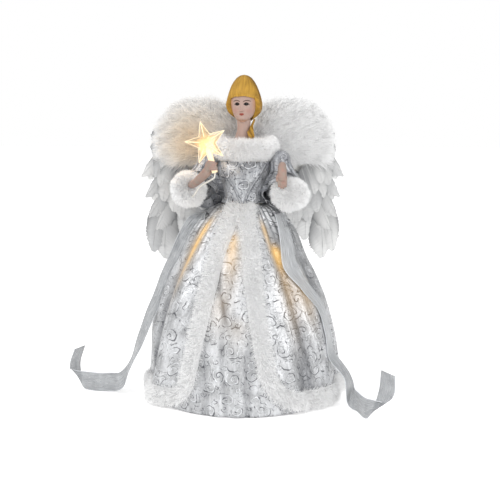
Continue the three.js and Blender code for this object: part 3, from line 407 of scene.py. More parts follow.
def plush(name, root, tip):
    # pile: painted shade makes it a darker grey at the root, pale at the tip, with soft clumps;
    # a painted warm light where a lamp shines on it
    look = newLook(name, Roughness=0.95, Sheen_Weight=0.25, Sheen_Roughness=0.5, Specular_IOR_Level=0.15)
    fade = look.plus(look.value("tip"), look.times(look.grain(260.0, 2.0), 0.6, -0.3))
    colour = look.blend(look.ramp(fade, -0.1, 0.7), srgb(root, root, root), srgb(tip, tip, tip))
    colour = look.blend(look.value("paintedWarm"), colour, srgb(224, 204, 168))
    look.set(Base_Color=colour)
    look.letThrough(colour, 0.6)
    return look.owner


def featherLook(name):
    # vane: fine barbs on the feather's own UV (x across, y along the quill), each feather its own tone
    look = newLook(name, Roughness=0.75, Sheen_Weight=0.2, Specular_IOR_Level=0.25)
    where = look.clothUv()
    squeezed = look.stretched(where, 0.05, 1.0)
    barbs, bands = look.noise(squeezed, 1900.0, 3.0), look.noise(squeezed, 420.0, 2.0)
    tone = look.times(bands, 0.15, look.times(barbs, 0.35, look.times(look.noise(where, 9.0, 0.0), 0.5)))
    colour = look.blend(look.ramp(tone, 0.25, 0.7), srgb(194, 195, 196), srgb(232, 232, 231))
    # painted shade: darker towards the edges and the root, where the feathers overlap
    colour = look.blend(look.value("depth"), colour, srgb(118, 119, 121))
    look.set(Base_Color=colour)
    look.bump(barbs, 0.3, 0.0003)
    look.letThrough(colour, 0.2)
    return look.owner


def painted(name, roughness, grain):
    # painted moulding: the paint is an attribute of the piece
    look = newLook(name, Coat_Weight=0.02, Coat_Roughness=0.3, Specular_IOR_Level=0.2, Subsurface_Weight=0.03,
                   Subsurface_Radius=(0.004, 0.002, 0.001), Subsurface_Scale=0.06)
    colour = look.put("Attribute", attribute_name="paint")["Color"]
    fine = look.grain(grain, 3.0)
    deep = look.put("HueSaturation", {"Color": colour, "Value": 0.93})[0]
    look.set(Base_Color=look.blend(fine, deep, colour), Roughness=look.times(fine, 0.2, roughness - 0.1))
    look.bump(fine, 0.2, 0.0001)
    return look.owner


sheer = dict(middle=0.009, wire=(0.0081, 0.0086), thin=srgb(136, 139, 143), thick=srgb(176, 179, 182),
             laid=srgb(214, 216, 218), edge=srgb(206, 209, 213))


def organza(name):
    # sheer ribbon: fine threads both ways, see-through between bright wired edges
    look = newLook(name, Metallic=0.1, Sheen_Weight=0.3)
    where = look.clothUv()
    x = look.put("SeparateXYZ", {0: where})[0]
    wired = look.ramp(look.maths("ABSOLUTE", look.minus(x, sheer["middle"])), *sheer["wire"])
    threads = look.noise(look.stretched(where, 1.0, 0.05), 1700.0, 2.0)
    tone = look.times(look.noise(where, 150.0, 3.0), 0.5, look.times(threads, 0.6))
    cloth = look.blend(look.ramp(tone, 0.3, 0.8), sheer["thin"], sheer["thick"])
    # painted light: lighter where the right ribbon lies on the robe
    cloth = look.blend(look.value("laid"), cloth, sheer["laid"])
    look.set(Base_Color=look.blend(wired, cloth, sheer["edge"]), Roughness=look.times(threads, 0.3, 0.22),
             Alpha=look.most(look.times(threads, 0.75, 0.28), wired))
    look.bump(tone, 0.3, 0.0003)
    return look.owner


def clearStar(name, centre):
    # clear plastic lit from inside: the glow falls off from the lamp
    look = newLook(name, Roughness=0.08, Transmission_Weight=0.92, IOR=1.12,
                   Emission_Color=srgb(255, 206, 128))
    away = look.vector("DISTANCE", look.place(), tuple(c * mm for c in centre), give="Value")
    fine = look.grain(500.0, 2.0)
    fall = look.minus(1.0, look.ramp(away, 0.004, 0.0145))
    look.set(Emission_Strength=look.times(look.maths("POWER", fall, 1.6), 0.3, 0.02),
             Base_Color=look.blend(fine, srgb(255, 240, 214), srgb(255, 250, 240)))
    look.bump(fine, 0.1, 0.0001)
    return look.owner


def litPlastic(name, colour, glow, strength):
    # plain plastic with a steady glow and a little cloudiness
    look = newLook(name, Roughness=0.3, Emission_Color=glow, Emission_Strength=strength)
    look.set(Base_Color=look.blend(look.grain(700.0, 2.0), tuple(c * 0.9 for c in colour), colour))
    return look.owner


silver = brocade("silver_brocade", srgb(206, 207, 209), 0.35, glowing=True)
bodiceSilver = brocade("bodice_brocade", srgb(178, 180, 184), 0.8)
sleeveSilver = brocade("sleeve_brocade", srgb(176, 178, 183), 0.8)
furLook = plush("white_plush", 247, 252)
downLook = plush("white_down", 248, 252)
cuffLook = plush("white_cuff", 250, 253)
vaneLook = featherLook("white_feather")
skinLook = painted("painted_skin", 0.5, 900.0)
hairLook = painted("painted_hair", 0.5, 1400.0)
sheerLook = organza("silver_organza")
feltLook = moulded("white_felt", srgb(240, 239, 235), 0.95, 1800.0, depth=0.0004)
shellLook = moulded("white_moulding", srgb(236, 234, 228), 0.5)
steelLook = moulded("steel_wire", srgb(196, 198, 200), 0.32, 1500.0, metallic=0.95)
leadLook = moulded("lead_sleeve", srgb(226, 223, 214), 0.5, 1200.0)
boxLook = moulded("dark_moulding", srgb(58, 60, 64), 0.5, 1300.0, depth=0.0002)
cellLook = moulded("cell_sleeve", srgb(98, 116, 92), 0.38, 700.0, metallic=0.2)
lampLook = litPlastic("warm_lamp", srgb(255, 214, 150), srgb(255, 186, 84), 1.6)

for look, names in (
    (shellLook, ["skirt_form", "torso_form", "wing_anchor"]),
    (leadLook, ["lamp_lead", "star_lead"]),
    (boxLook, ["battery_box", "battery_door", "switch_slider"]),
    (cellLook, ["cell_left", "cell_right"]),
    (steelLook, ["spring_contact", "bridge_contact", "left_arm_wire", "right_arm_wire", "left_wing_wire",
                 "right_wing_wire"]),
    (lampLook, [f"lamp_{k}" for k in range(1, 7)]),
):
    for name in names:
        nodes[name].material_slots[0].material = look
print("materials ready")


# skirt: the robe, the underskirt and the plush bands share these formulas

skirt = dict(height=182.0, base=82.0, top=15.0, bellShare=0.88, bellPower=2.6, gap=0.35, cloth=0.8, tuck=1.0,
             openTop=7.5, openHem=42.0, openPower=1.15, turned=-6.0, lift=3.0, slant=1.1)


def dropAt(z):
    # 0 at the waist, 1 at the floor
    return np.clip((skirt["height"] - z) / skirt["height"], 0, 1)


def formRadius(z):
    # part rounded, part straight, from the waist to the foot
    d = dropAt(z)
    rounded = 1 - (1 - d) ** skirt["bellPower"]
    return mix(skirt["top"], skirt["base"], skirt["bellShare"] * rounded + (1 - skirt["bellShare"]) * d)


def underBase(z):
    return formRadius(z) + skirt["gap"] + skirt["cloth"]


def robeBase(z):
    return underBase(z) + skirt["gap"] + skirt["cloth"]


def openingAngle(z):
    # half the front opening, whose width grows as a power of the drop
    half = mix(skirt["openTop"], skirt["openHem"], dropAt(z) ** skirt["openPower"])
    return np.arcsin(half / robeBase(z))


def around(angle, radius, z):
    # point at an angle from the skirt's own front, which is turned a little to the figure's right
    a = angle + rad(skirt["turned"])
    return vec(radius * np.sin(a), -radius * np.cos(a), z)


robe = dict(folds=9, start=0.2, depth=9.0, pleats=46, flare=8.0, flareAt=0.76, flareWide=0.075, puff=8.0,
            cornerLeft=28.0, cornerRight=17.0, rows=96, cols=461, wall=0.5, hemLevel=10.0, goreShift=0.037)


def robeCalm(share):
    # the cloth lies flat under the front bands
    return smoothstep(0.02, 0.08, share) * (1 - smoothstep(0.92, 0.98, share))


def foldWave(share, z):
    # 0 in the valleys, 1 on the crests, whose lines wander a little on the way down
    wander = 0.09 * dropAt(z) * np.sin(z / 29 + 17 * share)
    return (0.5 - 0.5 * np.cos(turn * (robe["folds"] * share + robe["start"] + wander))) ** 0.6


def pleatWave(share):
    return 0.5 - 0.5 * np.cos(turn * robe["pleats"] * share)


def robeFold(share, z):
    # broad rounded folds with narrow valleys, wandering a little, over fine pleats and a puff at the waist
    share, drop = np.clip(share, 0, 1), dropAt(z)
    calm, wave = robeCalm(share), foldWave(share, z)
    uneven = 0.82 + 0.18 * np.cos(turn * 3 * share + 1)
    main = robe["depth"] * (0.1 + 0.9 * drop ** 0.6) * calm * uneven * wave
    flare = robe["flare"] * np.exp(-((share - robe["flareAt"]) / robe["flareWide"]) ** 2)
    main = main + flare * smoothstep(30, 80, z) * smoothstep(176, 118, z)
    crease = 1.6 * drop * calm * (0.5 + 0.5 * np.sin(turn * 21 * share + z / 23)) ** 2
    pleat = 1.3 * (1 - smoothstep(0.05, 0.3, drop)) * pleatWave(share)
    sides = smoothstep(0.07, 0.2, share) * (1 - smoothstep(0.8, 0.93, share))
    puff = robe["puff"] * sides * smoothstep(182.5, 179, z) * smoothstep(126, 168, z)
    return main + crease + pleat * calm + puff


def robeSpan(z):
    return turn - 2 * openingAngle(z)


def robePoint(share, z, lift=0.0):
    angle = openingAngle(z) + share * robeSpan(z)
    return around(angle, robeBase(z) + robeFold(share, z) + lift, z)


# painted lamp light, where the lamps shine through:
# angle from the skirt's front, height, strength, width, length below
lampGlow = [(-3, 151, 0.4, 5, 15), (-1, 134, 0.16, 8, 24), (47, 140, 0.95, 4.5, 13), (41, 160, 0.4, 2.5, 16),
            (47, 112, 0.2, 8, 34), (63, 106, 0.24, 9, 24), (-53, 157, 0.75, 4.5, 22), (-54, 138, 0.4, 8, 28),
            (-8, 98, 0.09, 10, 22), (6, 80, 0.06, 9, 16), (180, 122, 0.25, 8, 22)]


def glowAt(angle, radius, z):
    # painted warm patches of lamp light: a bell curve across, long below and short above each lamp
    total = np.zeros(np.broadcast(angle, z).shape)
    for degrees, height, strength, wide, below in lampGlow:
        apart = (angle - rad(degrees) + math.pi) % turn - math.pi
        fall = np.where(z < height, (height - z) / below, (z - height) / (0.45 * below))
        total = total + strength * np.exp(-(apart * radius / wide) ** 2 - fall ** 2)
    return total


def cornerRise(away, radius):
    # height of a round corner above the hem, at a distance from the front edge
    inner = np.clip(radius - away, 0, radius)
    return radius - np.sqrt(radius ** 2 - inner ** 2)


def makeRobe():
    # rows from the waist to the hem, which rises in a round corner at both front edges;
    # the pattern starts anew on each fold, so it keeps its size where the skirt widens
    r, rows, cols = robe, robe["rows"], robe["cols"]
    share = np.linspace(0, 1, cols)[None, :]
    length = robeSpan(r["hemLevel"]) * robeBase(r["hemLevel"])
    low = skirt["lift"] + cornerRise(share * length, r["cornerLeft"])
    low = low + cornerRise((1 - share) * length, r["cornerRight"])
    z = mix(skirt["height"] - skirt["tuck"], low, np.linspace(0, 1, rows)[:, None] ** 0.85)
    wide = share + 0 * z
    # painted shade: darker in the fold valleys and between the gathers at the waist
    gathered = 0.8 * (1 - smoothstep(0.05, 0.3, dropAt(z))) * smoothstep(0.35, 0.0, pleatWave(wide))
    valleyShade = (smoothstep(0.62, 0.1, foldWave(wide, z)) * dropAt(z) ** 0.35 + gathered) * robeCalm(wide)
    gore = np.floor(r["folds"] * ((share[0, 1:] + share[0, :-1]) / 2) + r["start"])
    crest = (gore + 0.5 - r["start"]) / r["folds"]
    corners = []
    for i, j in ((0, 0), (0, 1), (1, 1), (1, 0)):
        corner = slice(i, i + rows - 1), slice(j, j + cols - 1)
        s, h = wide[corner], z[corner]
        across = (s - crest) * robeSpan(h) * robeBase(h) * mm + gore * r["goreShift"]
        corners.append(vec(across, h * skirt["slant"] * mm))
    uv = np.stack(corners, 2).reshape(-1, 2)
    glow = glowAt(openingAngle(z) + wide * robeSpan(z), robeBase(z), z)
    return sewn("robe_cloth", robePoint(wide, z), gridFaces(rows, cols), silver, uv,
                {"glow": glow, "valleyShade": valleyShade}, r["wall"], "figure", "robe")


underskirt = dict(folds=22, depth=2.6, front=52.0, frontCols=241, backCols=97, rows=84, hem=0.6, wall=0.4)


def makeUnderskirt():
    # small waves and one slanting crease where the robe leaves it bare, smooth behind; finer columns in front
    u = underskirt
    front = rad(np.linspace(-u["front"], u["front"], u["frontCols"]))
    back = rad(np.linspace(u["front"], 360 - u["front"], u["backCols"]))[1:-1]
    angle = np.concatenate([front, back])[None, :]
    z = np.linspace(skirt["height"] - skirt["tuck"], u["hem"], u["rows"])[:, None]
    apart = np.abs((angle + math.pi) % turn - math.pi)
    shown = 1 - smoothstep(openingAngle(z) * 0.6, openingAngle(z) * 0.98, apart)
    drop = dropAt(z)
    swing = 0.25 * np.sin(z / 37 + 5 * angle)
    fold = (0.5 - 0.5 * np.cos(u["folds"] * angle + swing * 6)) * (0.55 + 0.45 * np.sin(7 * angle + 1.3))
    slant = angle * 60 - 0.28 * (150 - z)
    crease, beside = (np.exp(-((slant + shift) / wide) ** 2) * smoothstep(60, 95, z)
                      for shift, wide in ((14, 7), (20, 2.2)))
    # painted shade: darker in the valleys of the small waves and beside the slanting crease
    valleyShade = (0.6 * smoothstep(0.3, 0.0, fold) * drop ** 0.5 + 0.8 * beside) * shown
    radius = underBase(z) + u["depth"] * drop ** 0.7 * shown * (0.6 * fold + 1.5 * crease)
    points = around(angle + 0 * z, radius, z + 0 * angle)
    closed = np.append(angle[0], angle[0, 0] + turn)[None, :]
    return sewn("underskirt_cloth", points, gridFaces(*points.shape[:2], joinCols=True), silver,
                gridUv(closed * underBase(z) * mm, z * skirt["slant"] * mm),
                {"glow": glowAt(angle + 0 * z, underBase(z), z + 0 * angle), "valleyShade": valleyShade},
                u["wall"], "figure", "underskirt")


robeCloth = makeRobe()
underCloth = makeUnderskirt()
print("gown ready")


# pile: strands grown from a core surface

pileFloor = dict(soft=1.2, least=0.2)
blade = dict(steps=((0.0, 1.0), (0.38, 0.85), (0.72, 0.55)), tips=[0, 0, 0.4, 0.4, 0.75, 0.75, 1.0], core=0.2)


def strands(grid, normals, faces, count, seed, length, width, lean=np.zeros(3), spread=0.35, droop=0.25,
            weight=None, curl=0.25, longer=None):
    # each strand is a tapered blade of three steps on a bent line: root + length (t way + t^2 bend);
    # roots are spread by face area, way is the surface normal plus lean and a random part
    draw = np.random.default_rng(seed)
    p = grid.reshape(-1, 3)
    a, b, c, d = (p[faces[:, k]] for k in range(4))
    area = np.linalg.norm(np.cross(c - a, d - b), axis=1)
    if weight is not None:
        area = area * weight.reshape(-1)[faces].mean(1)
    pick = draw.choice(len(faces), count, p=area / area.sum())
    s, t = draw.random((2, count, 1))
    share = np.stack([(1 - s) * (1 - t), s * (1 - t), s * t, (1 - s) * t], 0)
    atRoot = lambda field: sum(share[k] * field[faces[pick, k]] for k in range(4))
    root = atRoot(p)
    normal = unit(atRoot(normals.reshape(-1, 3)))
    aim = lean if lean.ndim == 1 else atRoot(lean.reshape(-1, 3))
    clump = np.stack([ripple(root, 7.0, seed + k) for k in (1, 2, 3)], -1)
    way = unit(normal + aim + spread * (0.6 * draw.normal(size=(count, 3)) + 0.5 * clump))
    bend = curl * draw.normal(size=(count, 3)) + np.array([0, 0, -droop])
    reach = length * draw.uniform(0.65, 1.1, (count, 1)) * (1 + 0.18 * ripple(root, 9.0, seed + 9)[:, None])
    if longer is not None:
        reach = reach * atRoot(longer.reshape(-1, 1))
    across = unit(np.cross(way, draw.normal(size=(count, 3)))) * width * 0.5
    rows = []
    for step, thick in blade["steps"]:
        middle = root + reach * (step * way + 0.5 * step ** 2 * bend)
        rows += [middle - across * thick, middle + across * thick]
    rows.append(root + reach * (way + 0.5 * bend))
    points = np.stack(rows, 1).reshape(-1, 3)
    # pile that reaches the floor lies down on it: z becomes least + e^(z - soft) below soft
    low = points[:, 2] < pileFloor["soft"]
    points[low, 2] = pileFloor["least"] + np.exp(points[low, 2] - pileFloor["soft"])
    first = (np.arange(count) * len(rows))[:, None]
    quads = np.concatenate([first + [0, 1, 3, 2], first + [2, 3, 5, 4]])
    return points, quads, first + [4, 5, 6], np.tile(blade["tips"], count)


def pilePiece(name, grid, joinRows, look, outward, paintedLampLight=None, **pile):
    # core surface, closed round its columns, and its strands as one mesh; open ends get a fan of triangles;
    # the painted warm light of a lamp is a bell curve of the distance from it: its place, reach and strength
    rows, cols = grid.shape[:2]
    faces = gridFaces(rows, cols, joinRows, True)
    normals = gridNormals(grid, joinRows, True)
    if (normals * outward).sum() < 0:
        normals, faces = -normals, faces[:, ::-1]
    blades, quads, tris, tip = strands(grid, normals, faces, **pile)
    core = grid.reshape(-1, 3)
    points, allQuads, allTris = merged((core, faces, []), (blades, quads, tris))
    if not joinRows:
        k = np.arange(1, cols - 1)
        fan = np.stack([0 * k, k, k + 1], -1)
        allTris = np.concatenate([allTris, fan, fan[:, ::-1] + (rows - 1) * cols])
    values = {"tip": np.concatenate([np.full(len(core), blade["core"]), tip])}
    if paintedLampLight is not None:
        lamp, reach, strength = paintedLampLight
        values["paintedWarm"] = strength * np.exp(-(np.linalg.norm(points - lamp, axis=1) / reach) ** 2)
    return addMesh(name, points, allQuads, allTris, look, values=values)


band = dict(wide=8.2, plush=2.7, offset=1.5, middle=11.5, split=60.0, sides=18, downSteps=110, bendSteps=33,
            hemSteps=330, over=1.5, closing=3.0, clear=0.4)
bandCut = band["downSteps"] + int(band["bendSteps"] * band["split"] / 90)  # where the hem's band takes over


def bandLine(radius):
    # middle line of the trim in (distance from the front edge, height): down the edge, then round the corner
    b = band
    down = np.linspace(skirt["height"] + b["over"], b["middle"] + radius, b["downSteps"])
    bend = rad(np.linspace(0, 90, b["bendSteps"] + 1))[1:]
    closing = b["offset"] - b["closing"] * smoothstep(140, 176, down)
    d = np.concatenate([closing, b["offset"] + radius * (1 - np.cos(bend))])
    z = np.concatenate([down, b["middle"] + radius * (1 - np.sin(bend))])
    across = np.concatenate([vec(1.0, 0 * down), vec(np.cos(bend), np.sin(bend))])
    return d, z, across


def bandTube(d, z, across, right):
    # closed lens section carried along the line, lying on the robe, narrowed at the waist
    b = band
    a = ring(b["sides"])[None, :]
    close = np.sqrt(np.clip(1 - ((z - skirt["height"] + 3) / 4.6).clip(0) ** 2, 0.02, 1))[:, None]
    wide = np.cos(a) * b["wide"] * close
    high = b["clear"] + b["plush"] * np.clip(np.sin(a), -0.05, 1) * close
    away, level = d[:, None] + wide * across[:, :1], z[:, None] + wide * across[:, 1:]
    share = away / (robeBase(level) * robeSpan(level))
    return robePoint(1 - share if right else share, level, high)


def bandFur(name, tube, node, count, seed, width):
    # strands stand out from the skirt and leave the underside bare
    rise = tube - tube.mean(1, keepdims=True)
    facing = unit(tube * [1, 1, 0])
    top = smoothstep(-0.6, 0.3, (unit(rise) * facing).sum(-1))
    piece = pilePiece(name, tube, False, furLook, rise, count=count, seed=seed, length=4.6, width=width,
                      lean=0.35 * facing, weight=top, spread=0.4)
    return settle(piece, "figure", "plush", node)


def hemBand():
    # both corners below the front bands, and the level run between them
    lineLeft, lineRight = bandLine(robe["cornerLeft"]), bandLine(robe["cornerRight"])
    span = robeSpan(band["middle"]) * robeBase(band["middle"])
    d = np.linspace(lineLeft[0][-1], span - lineRight[0][-1], band["hemSteps"])[1:-1]
    corner = lambda line, right: bandTube(*(part[bandCut - 2:] for part in line), right)
    level = bandTube(d, np.full(len(d), band["middle"]), vec(0.0 * d, 1.0), False)
    return np.concatenate([corner(lineLeft, False), level, corner(lineRight, True)[::-1]])


def frontBand(radius, right):
    return bandTube(*(part[:bandCut] for part in bandLine(radius)), right)


tubeLeft, tubeRight = frontBand(robe["cornerLeft"], False), frontBand(robe["cornerRight"], True)
furLeft = bandFur("front_fur_left", tubeLeft, "front_trim_left", 11500, 21, 0.34)
furRight = bandFur("front_fur_right", tubeRight, "front_trim_right", 11500, 25, 0.34)
hemFur = bandFur("hem_fur", hemBand(), "hem_trim", 30000, 31, 0.36)
print("plush bands ready")


# figure: torso, bodice, head, hair and collar

# sections are height, half width, half depth, shift to the front
torso = dict(top=226.0, foot=182.35, sections=[
    [0, 16.4, 13.6, 0], [7, 16, 12.6, 0], [16, 18.2, 14.4, 0.6], [25, 21.2, 17.2, 1.8],
    [32, 22.6, 16.4, 1.2], [39, 22.6, 13.4, 0.3], [43.65, 20, 11.4, 0]])
bodice = dict(rows=90, cols=240, low=0.4, high=39, gap=1.3, girth=19, piping=0.55, spring=2.8, wall=0.5)


def torsoPoint(angle, height, grow):
    # ellipse at a height, grown outwards
    wide, deep, front = smoothTable(height, torso["sections"])
    return vec((wide + grow) * np.sin(angle), -front - (deep + grow) * np.cos(angle), torso["foot"] + height)


def makeBodice():
    # fitted cloth with two raised seams that meet in a point at the front of the waist;
    # it springs out a little at the sides of the waist, where the robe is sewn on
    b = bodice
    edges = np.linspace(-math.pi, math.pi, b["cols"] + 1)[None, :]
    angle, height = np.broadcast_arrays(edges[:, :-1], np.linspace(b["low"], b["high"], b["rows"])[:, None])
    aside = np.abs(angle)
    seam = aside - (0.07 + 0.62 * (height / 25) ** 1.1)
    piping = b["piping"] * np.exp(-(seam * b["girth"] / 0.75) ** 2) * (aside < 1.3)
    # painted shade in a narrow band beside each raised seam
    valleyShade = 0.9 * np.exp(-((np.abs(seam) * b["girth"] - 1.3) / 0.6) ** 2) * (aside < 1.3)
    sides = smoothstep(0.8, 1.3, aside) * smoothstep(2.4, 1.9, aside)
    waist = 0.5 * np.exp(-((height - 1.2) / 1.1) ** 2) + b["spring"] * np.exp(-(height / 4.2) ** 2) * sides
    tuck = 0.28 * ripple(torsoPoint(angle, height, 1.15) * [1, 1, 0.4], 9.0, 5)
    points = torsoPoint(angle, height, b["gap"] + piping + waist + np.clip(tuck, -0.1, 0.5))
    return sewn("bodice_cloth", points, gridFaces(b["rows"], b["cols"], joinCols=True), bodiceSilver,
                gridUv(edges * b["girth"] * mm, height[:, :1] * mm), {"valleyShade": valleyShade}, b["wall"],
                "figure", "bodice")


bodiceCloth = makeBodice()

head = dict(chin=255.0, turned=-5.0, rows=230, cols=300, neckHeight=33, plate=[
    [0, 20, 11.6, 0], [3.5, 17.5, 11.2, 0], [7.5, 13, 10, 0], [11, 10.6, 8.6, 0],
    [15, 9.2, 7.6, 0], [19, 7.5, 6.8, 0.1], [24, 6.2, 6.3, 0.3], [33, 6.4, 6.6, 0.8]], face=[
    [0, 2.6, 2.6, 6.6], [1.6, 5, 5.6, 5.2], [4, 7.2, 8.4, 3.4], [6, 8.4, 9.8, 2.4], [9.4, 9.8, 11.2, 1.3],
    [12.6, 10.9, 12, 0.6], [17.6, 12, 12.8, -0.2], [21, 12.3, 13, -0.5], [25.5, 11.8, 12.5, -0.8],
    [30, 9.4, 10.4, -1], [33.4, 5.2, 6, -1], [34.6, 2, 2.4, -1]],
    heights=[[-0.4, 0, 8, 17.5, 24, 34.8], [2.1, 2.5, 9.2, 18.2, 24.3, 34.8]],
    skin=srgb(174, 149, 139), blush=srgb(176, 116, 106), lip=srgb(148, 54, 40), white=srgb(150, 140, 134),
    iris=srgb(16, 10, 8), brow=srgb(84, 64, 54), lash=srgb(20, 13, 11), paintedWarm=srgb(190, 134, 88),
    hand=srgb(158, 141, 130))
# what stands out of the face or sinks in, alike on both sides:
# how far, distance from the middle, height above the chin, half width, half height
features = [
    (1.7, 0, 11.6, 1.35, 1.3), (0.95, 0, 14.6, 1.1, 2.8), (0.5, 1.4, 11.1, 0.7, 0.8),  # nose
    (0.55, 0, 8.7, 1.9, 0.55), (0.62, 0, 7.3, 1.7, 0.6), (-0.25, 0, 8.0, 2.2, 0.22),  # lips
    (0.7, 0, 3.2, 2.8, 1.9), (0.35, 6.0, 11.5, 2.6, 3.0),  # chin and cheeks
    (-0.75, 4.5, 17.5, 2.5, 1.6), (0.42, 4.5, 17.4, 1.7, 0.9),  # eyes
    (0.22, 4.5, 18.5, 2.0, 0.35), (0.3, 4.6, 20.6, 2.8, 1.0)]  # lids and brows


def faceRelief(x, h):
    # a sum of bell curves
    return sum(out * bell(np.abs(x), h, *shape) for out, *shape in features)


def facePaint(x, h, front):
    # skin, then blush, painted warm shade, eyes with a painted highlight, lashes, brows and lips
    # laid over each other by soft masks
    a = np.abs(x)
    lidTop = 17.45 + 1.45 * (1 - ((a - 4.2) / 2.4) ** 2)
    lidLow = 17.35 - 1.15 * (1 - ((a - 4.2) / 2.3) ** 2)
    within = smoothstep(-0.1, 0.12, lidTop - h) * smoothstep(-0.1, 0.12, h - lidLow)
    within = within * smoothstep(2.5, 2.3, np.abs(a - 4.2))
    gleam = smoothstep(0.24, 0.12, np.hypot(x - np.sign(x) * 4.15 - 0.35, h - 17.95))
    lidLine = smoothstep(0.2, 0.08, np.abs(h - lidLow)) * smoothstep(2.1, 1.7, np.abs(a - 4.3))
    arch = 20.0 + 1.2 * np.sin(np.clip((a - 1.3) / 7.0, 0, 1) * math.pi)
    brows = smoothstep(0.62, 0.3, np.abs(h - arch)) * smoothstep(1.2, 1.9, a) * smoothstep(8.4, 7.4, a)
    upper = 8.15 + 1.1 * (1 - (a / 2.4) ** 2) - 0.35 * np.exp(-(x / 0.5) ** 2)
    lower = 7.85 - 1.3 * (1 - (a / 2.1) ** 2)
    mouth = smoothstep(-0.14, 0.14, upper - h) * smoothstep(-0.14, 0.14, h - lower) * smoothstep(2.3, 2.0, a)
    coats = [
        (0.35 * bell(a, h, 6.2, 11.2, 2.8, 2.6) + 0.16 * bell(x, h, 0, 11.4, 1.3, 1.0), "blush"),
        # painted warm shade at the sides of the face and under the chin
        (0.55 * smoothstep(7.6, 11.5, a) + 0.4 * smoothstep(3.5, 0.5, h), "paintedWarm"),
        (within, "white"),
        (within * smoothstep(2.15, 1.95, np.hypot(a - 4.15, h - 17.5)), "iris"),
        # a painted highlight in each eye
        (within * gleam, "white"),
        (smoothstep(0.6, 0.34, np.abs(h - lidTop)) * smoothstep(2.8, 2.4, np.abs(a - 4.4)), "lash"),
        (0.55 * lidLine, "brow"),
        (0.95 * brows, "brow"),
        (0.88 * mouth, "lip"),
        (0.7 * smoothstep(0.16, 0.05, np.abs(h - 8.0)) * smoothstep(2.2, 1.8, a), "lash"),
        (0.4 * smoothstep(0.38, 0.2, np.hypot(a - 0.8, (h - 10.6) * 1.4)), "brow")]  # nostrils
    colour = np.tile(np.array(head["skin"]), x.shape + (1,))
    for mask, tone in coats:
        colour = mix(colour, np.array(head[tone]), (np.clip(mask, 0, 1) * front)[..., None])
    return colour


def makeHead():
    # ellipses up the face, closed at both poles, with finer columns in front; the neck's rings below
    f = head
    s = np.linspace(-1, 1, f["cols"], endpoint=False)[None, :]
    angle = math.pi * (0.5 * s + 0.5 * s ** 3)
    h = np.concatenate([[-0.4, -0.25], np.linspace(0, 34.6, f["rows"]), [34.75]])[:, None]
    wide, deep, front = smoothTable(h + 0 * angle, f["face"])
    pole = np.where(h < -0.3, 0.05, np.where(h < 0, 0.75, np.where(h > 34.7, 0.02, 1.0)))
    x = wide * pole * np.sin(angle)
    facing = np.clip(np.cos(angle), 0, 1)
    y = -front - deep * pole * np.cos(angle) - facing * faceRelief(x, h)
    skull = turnedZ(vec(x, y, f["chin"] + np.interp(h, *f["heights"])), f["turned"])
    paint = facePaint(x, h + 0 * x, smoothstep(0.1, 0.4, facing)).reshape(-1, 3)
    rings = np.linspace(0, f["neckHeight"], 70)[:, None]
    a = ring(96)[None, :]
    wide, deep, front = smoothTable(rings + 0 * a, f["plate"])
    hollow = 0.5 * bell(wide * np.sin(a), rings, 0, 8.5, 2.2, 2.2) * (np.cos(a) > 0)
    neck = vec(wide * np.sin(a), -front - (deep - hollow) * np.cos(a), torso["top"] + 0.35 + rings)
    skin = np.tile(np.array(f["skin"]), (neck.shape[0] * neck.shape[1], 1))
    piece = addMesh("doll_head", *merged(closedShell(skull), closedShell(neck)), skinLook,
                    paint=np.concatenate([paint, skin]))
    return settle(piece, "figure", "skin", "head")


makeHead()

# sections are height above the chin, share of the width, half depth, shift to the back
hair = dict(
    width=35.0, rows=150, cols=420, top=45.0, inset=0.66, light=srgb(196, 152, 62), dark=srgb(110, 78, 26),
    sections=[
        [2.5, 0.5, 8.2, 5], [4, 0.59, 9.6, 4.6], [7.6, 0.75, 12.4, 3.6], [13.2, 0.905, 15.4, 2.4],
        [17.9, 0.96, 16.6, 2], [22.2, 0.915, 16.2, 1.8], [27.2, 0.84, 15, 1.7], [31.5, 0.755, 13.2, 1.6],
        [35.6, 0.655, 11.4, 1.5], [40.3, 0.475, 8.2, 1.4], [43.1, 0.31, 5.5, 1.4], [44.6, 0.13, 2.4, 1.4],
        [45, 0.01, 0.2, 1.4]])
ringlet = dict(steps=60, sides=30,
               stops=[[9.6, 0, 259], [7.9, -3, 253], [7.6, -7, 247.5], [8.2, -10.5, 241.5]],
               radii=[[0, 0.33, 0.66, 0.9, 1], [0.9, 1.2, 2.9, 2.9, 1.3]], lobes=3, twist=16.0, depth=0.16)


def hairPaint(tone):
    return mix(np.array(hair["dark"]), np.array(hair["light"]), tone[..., None])


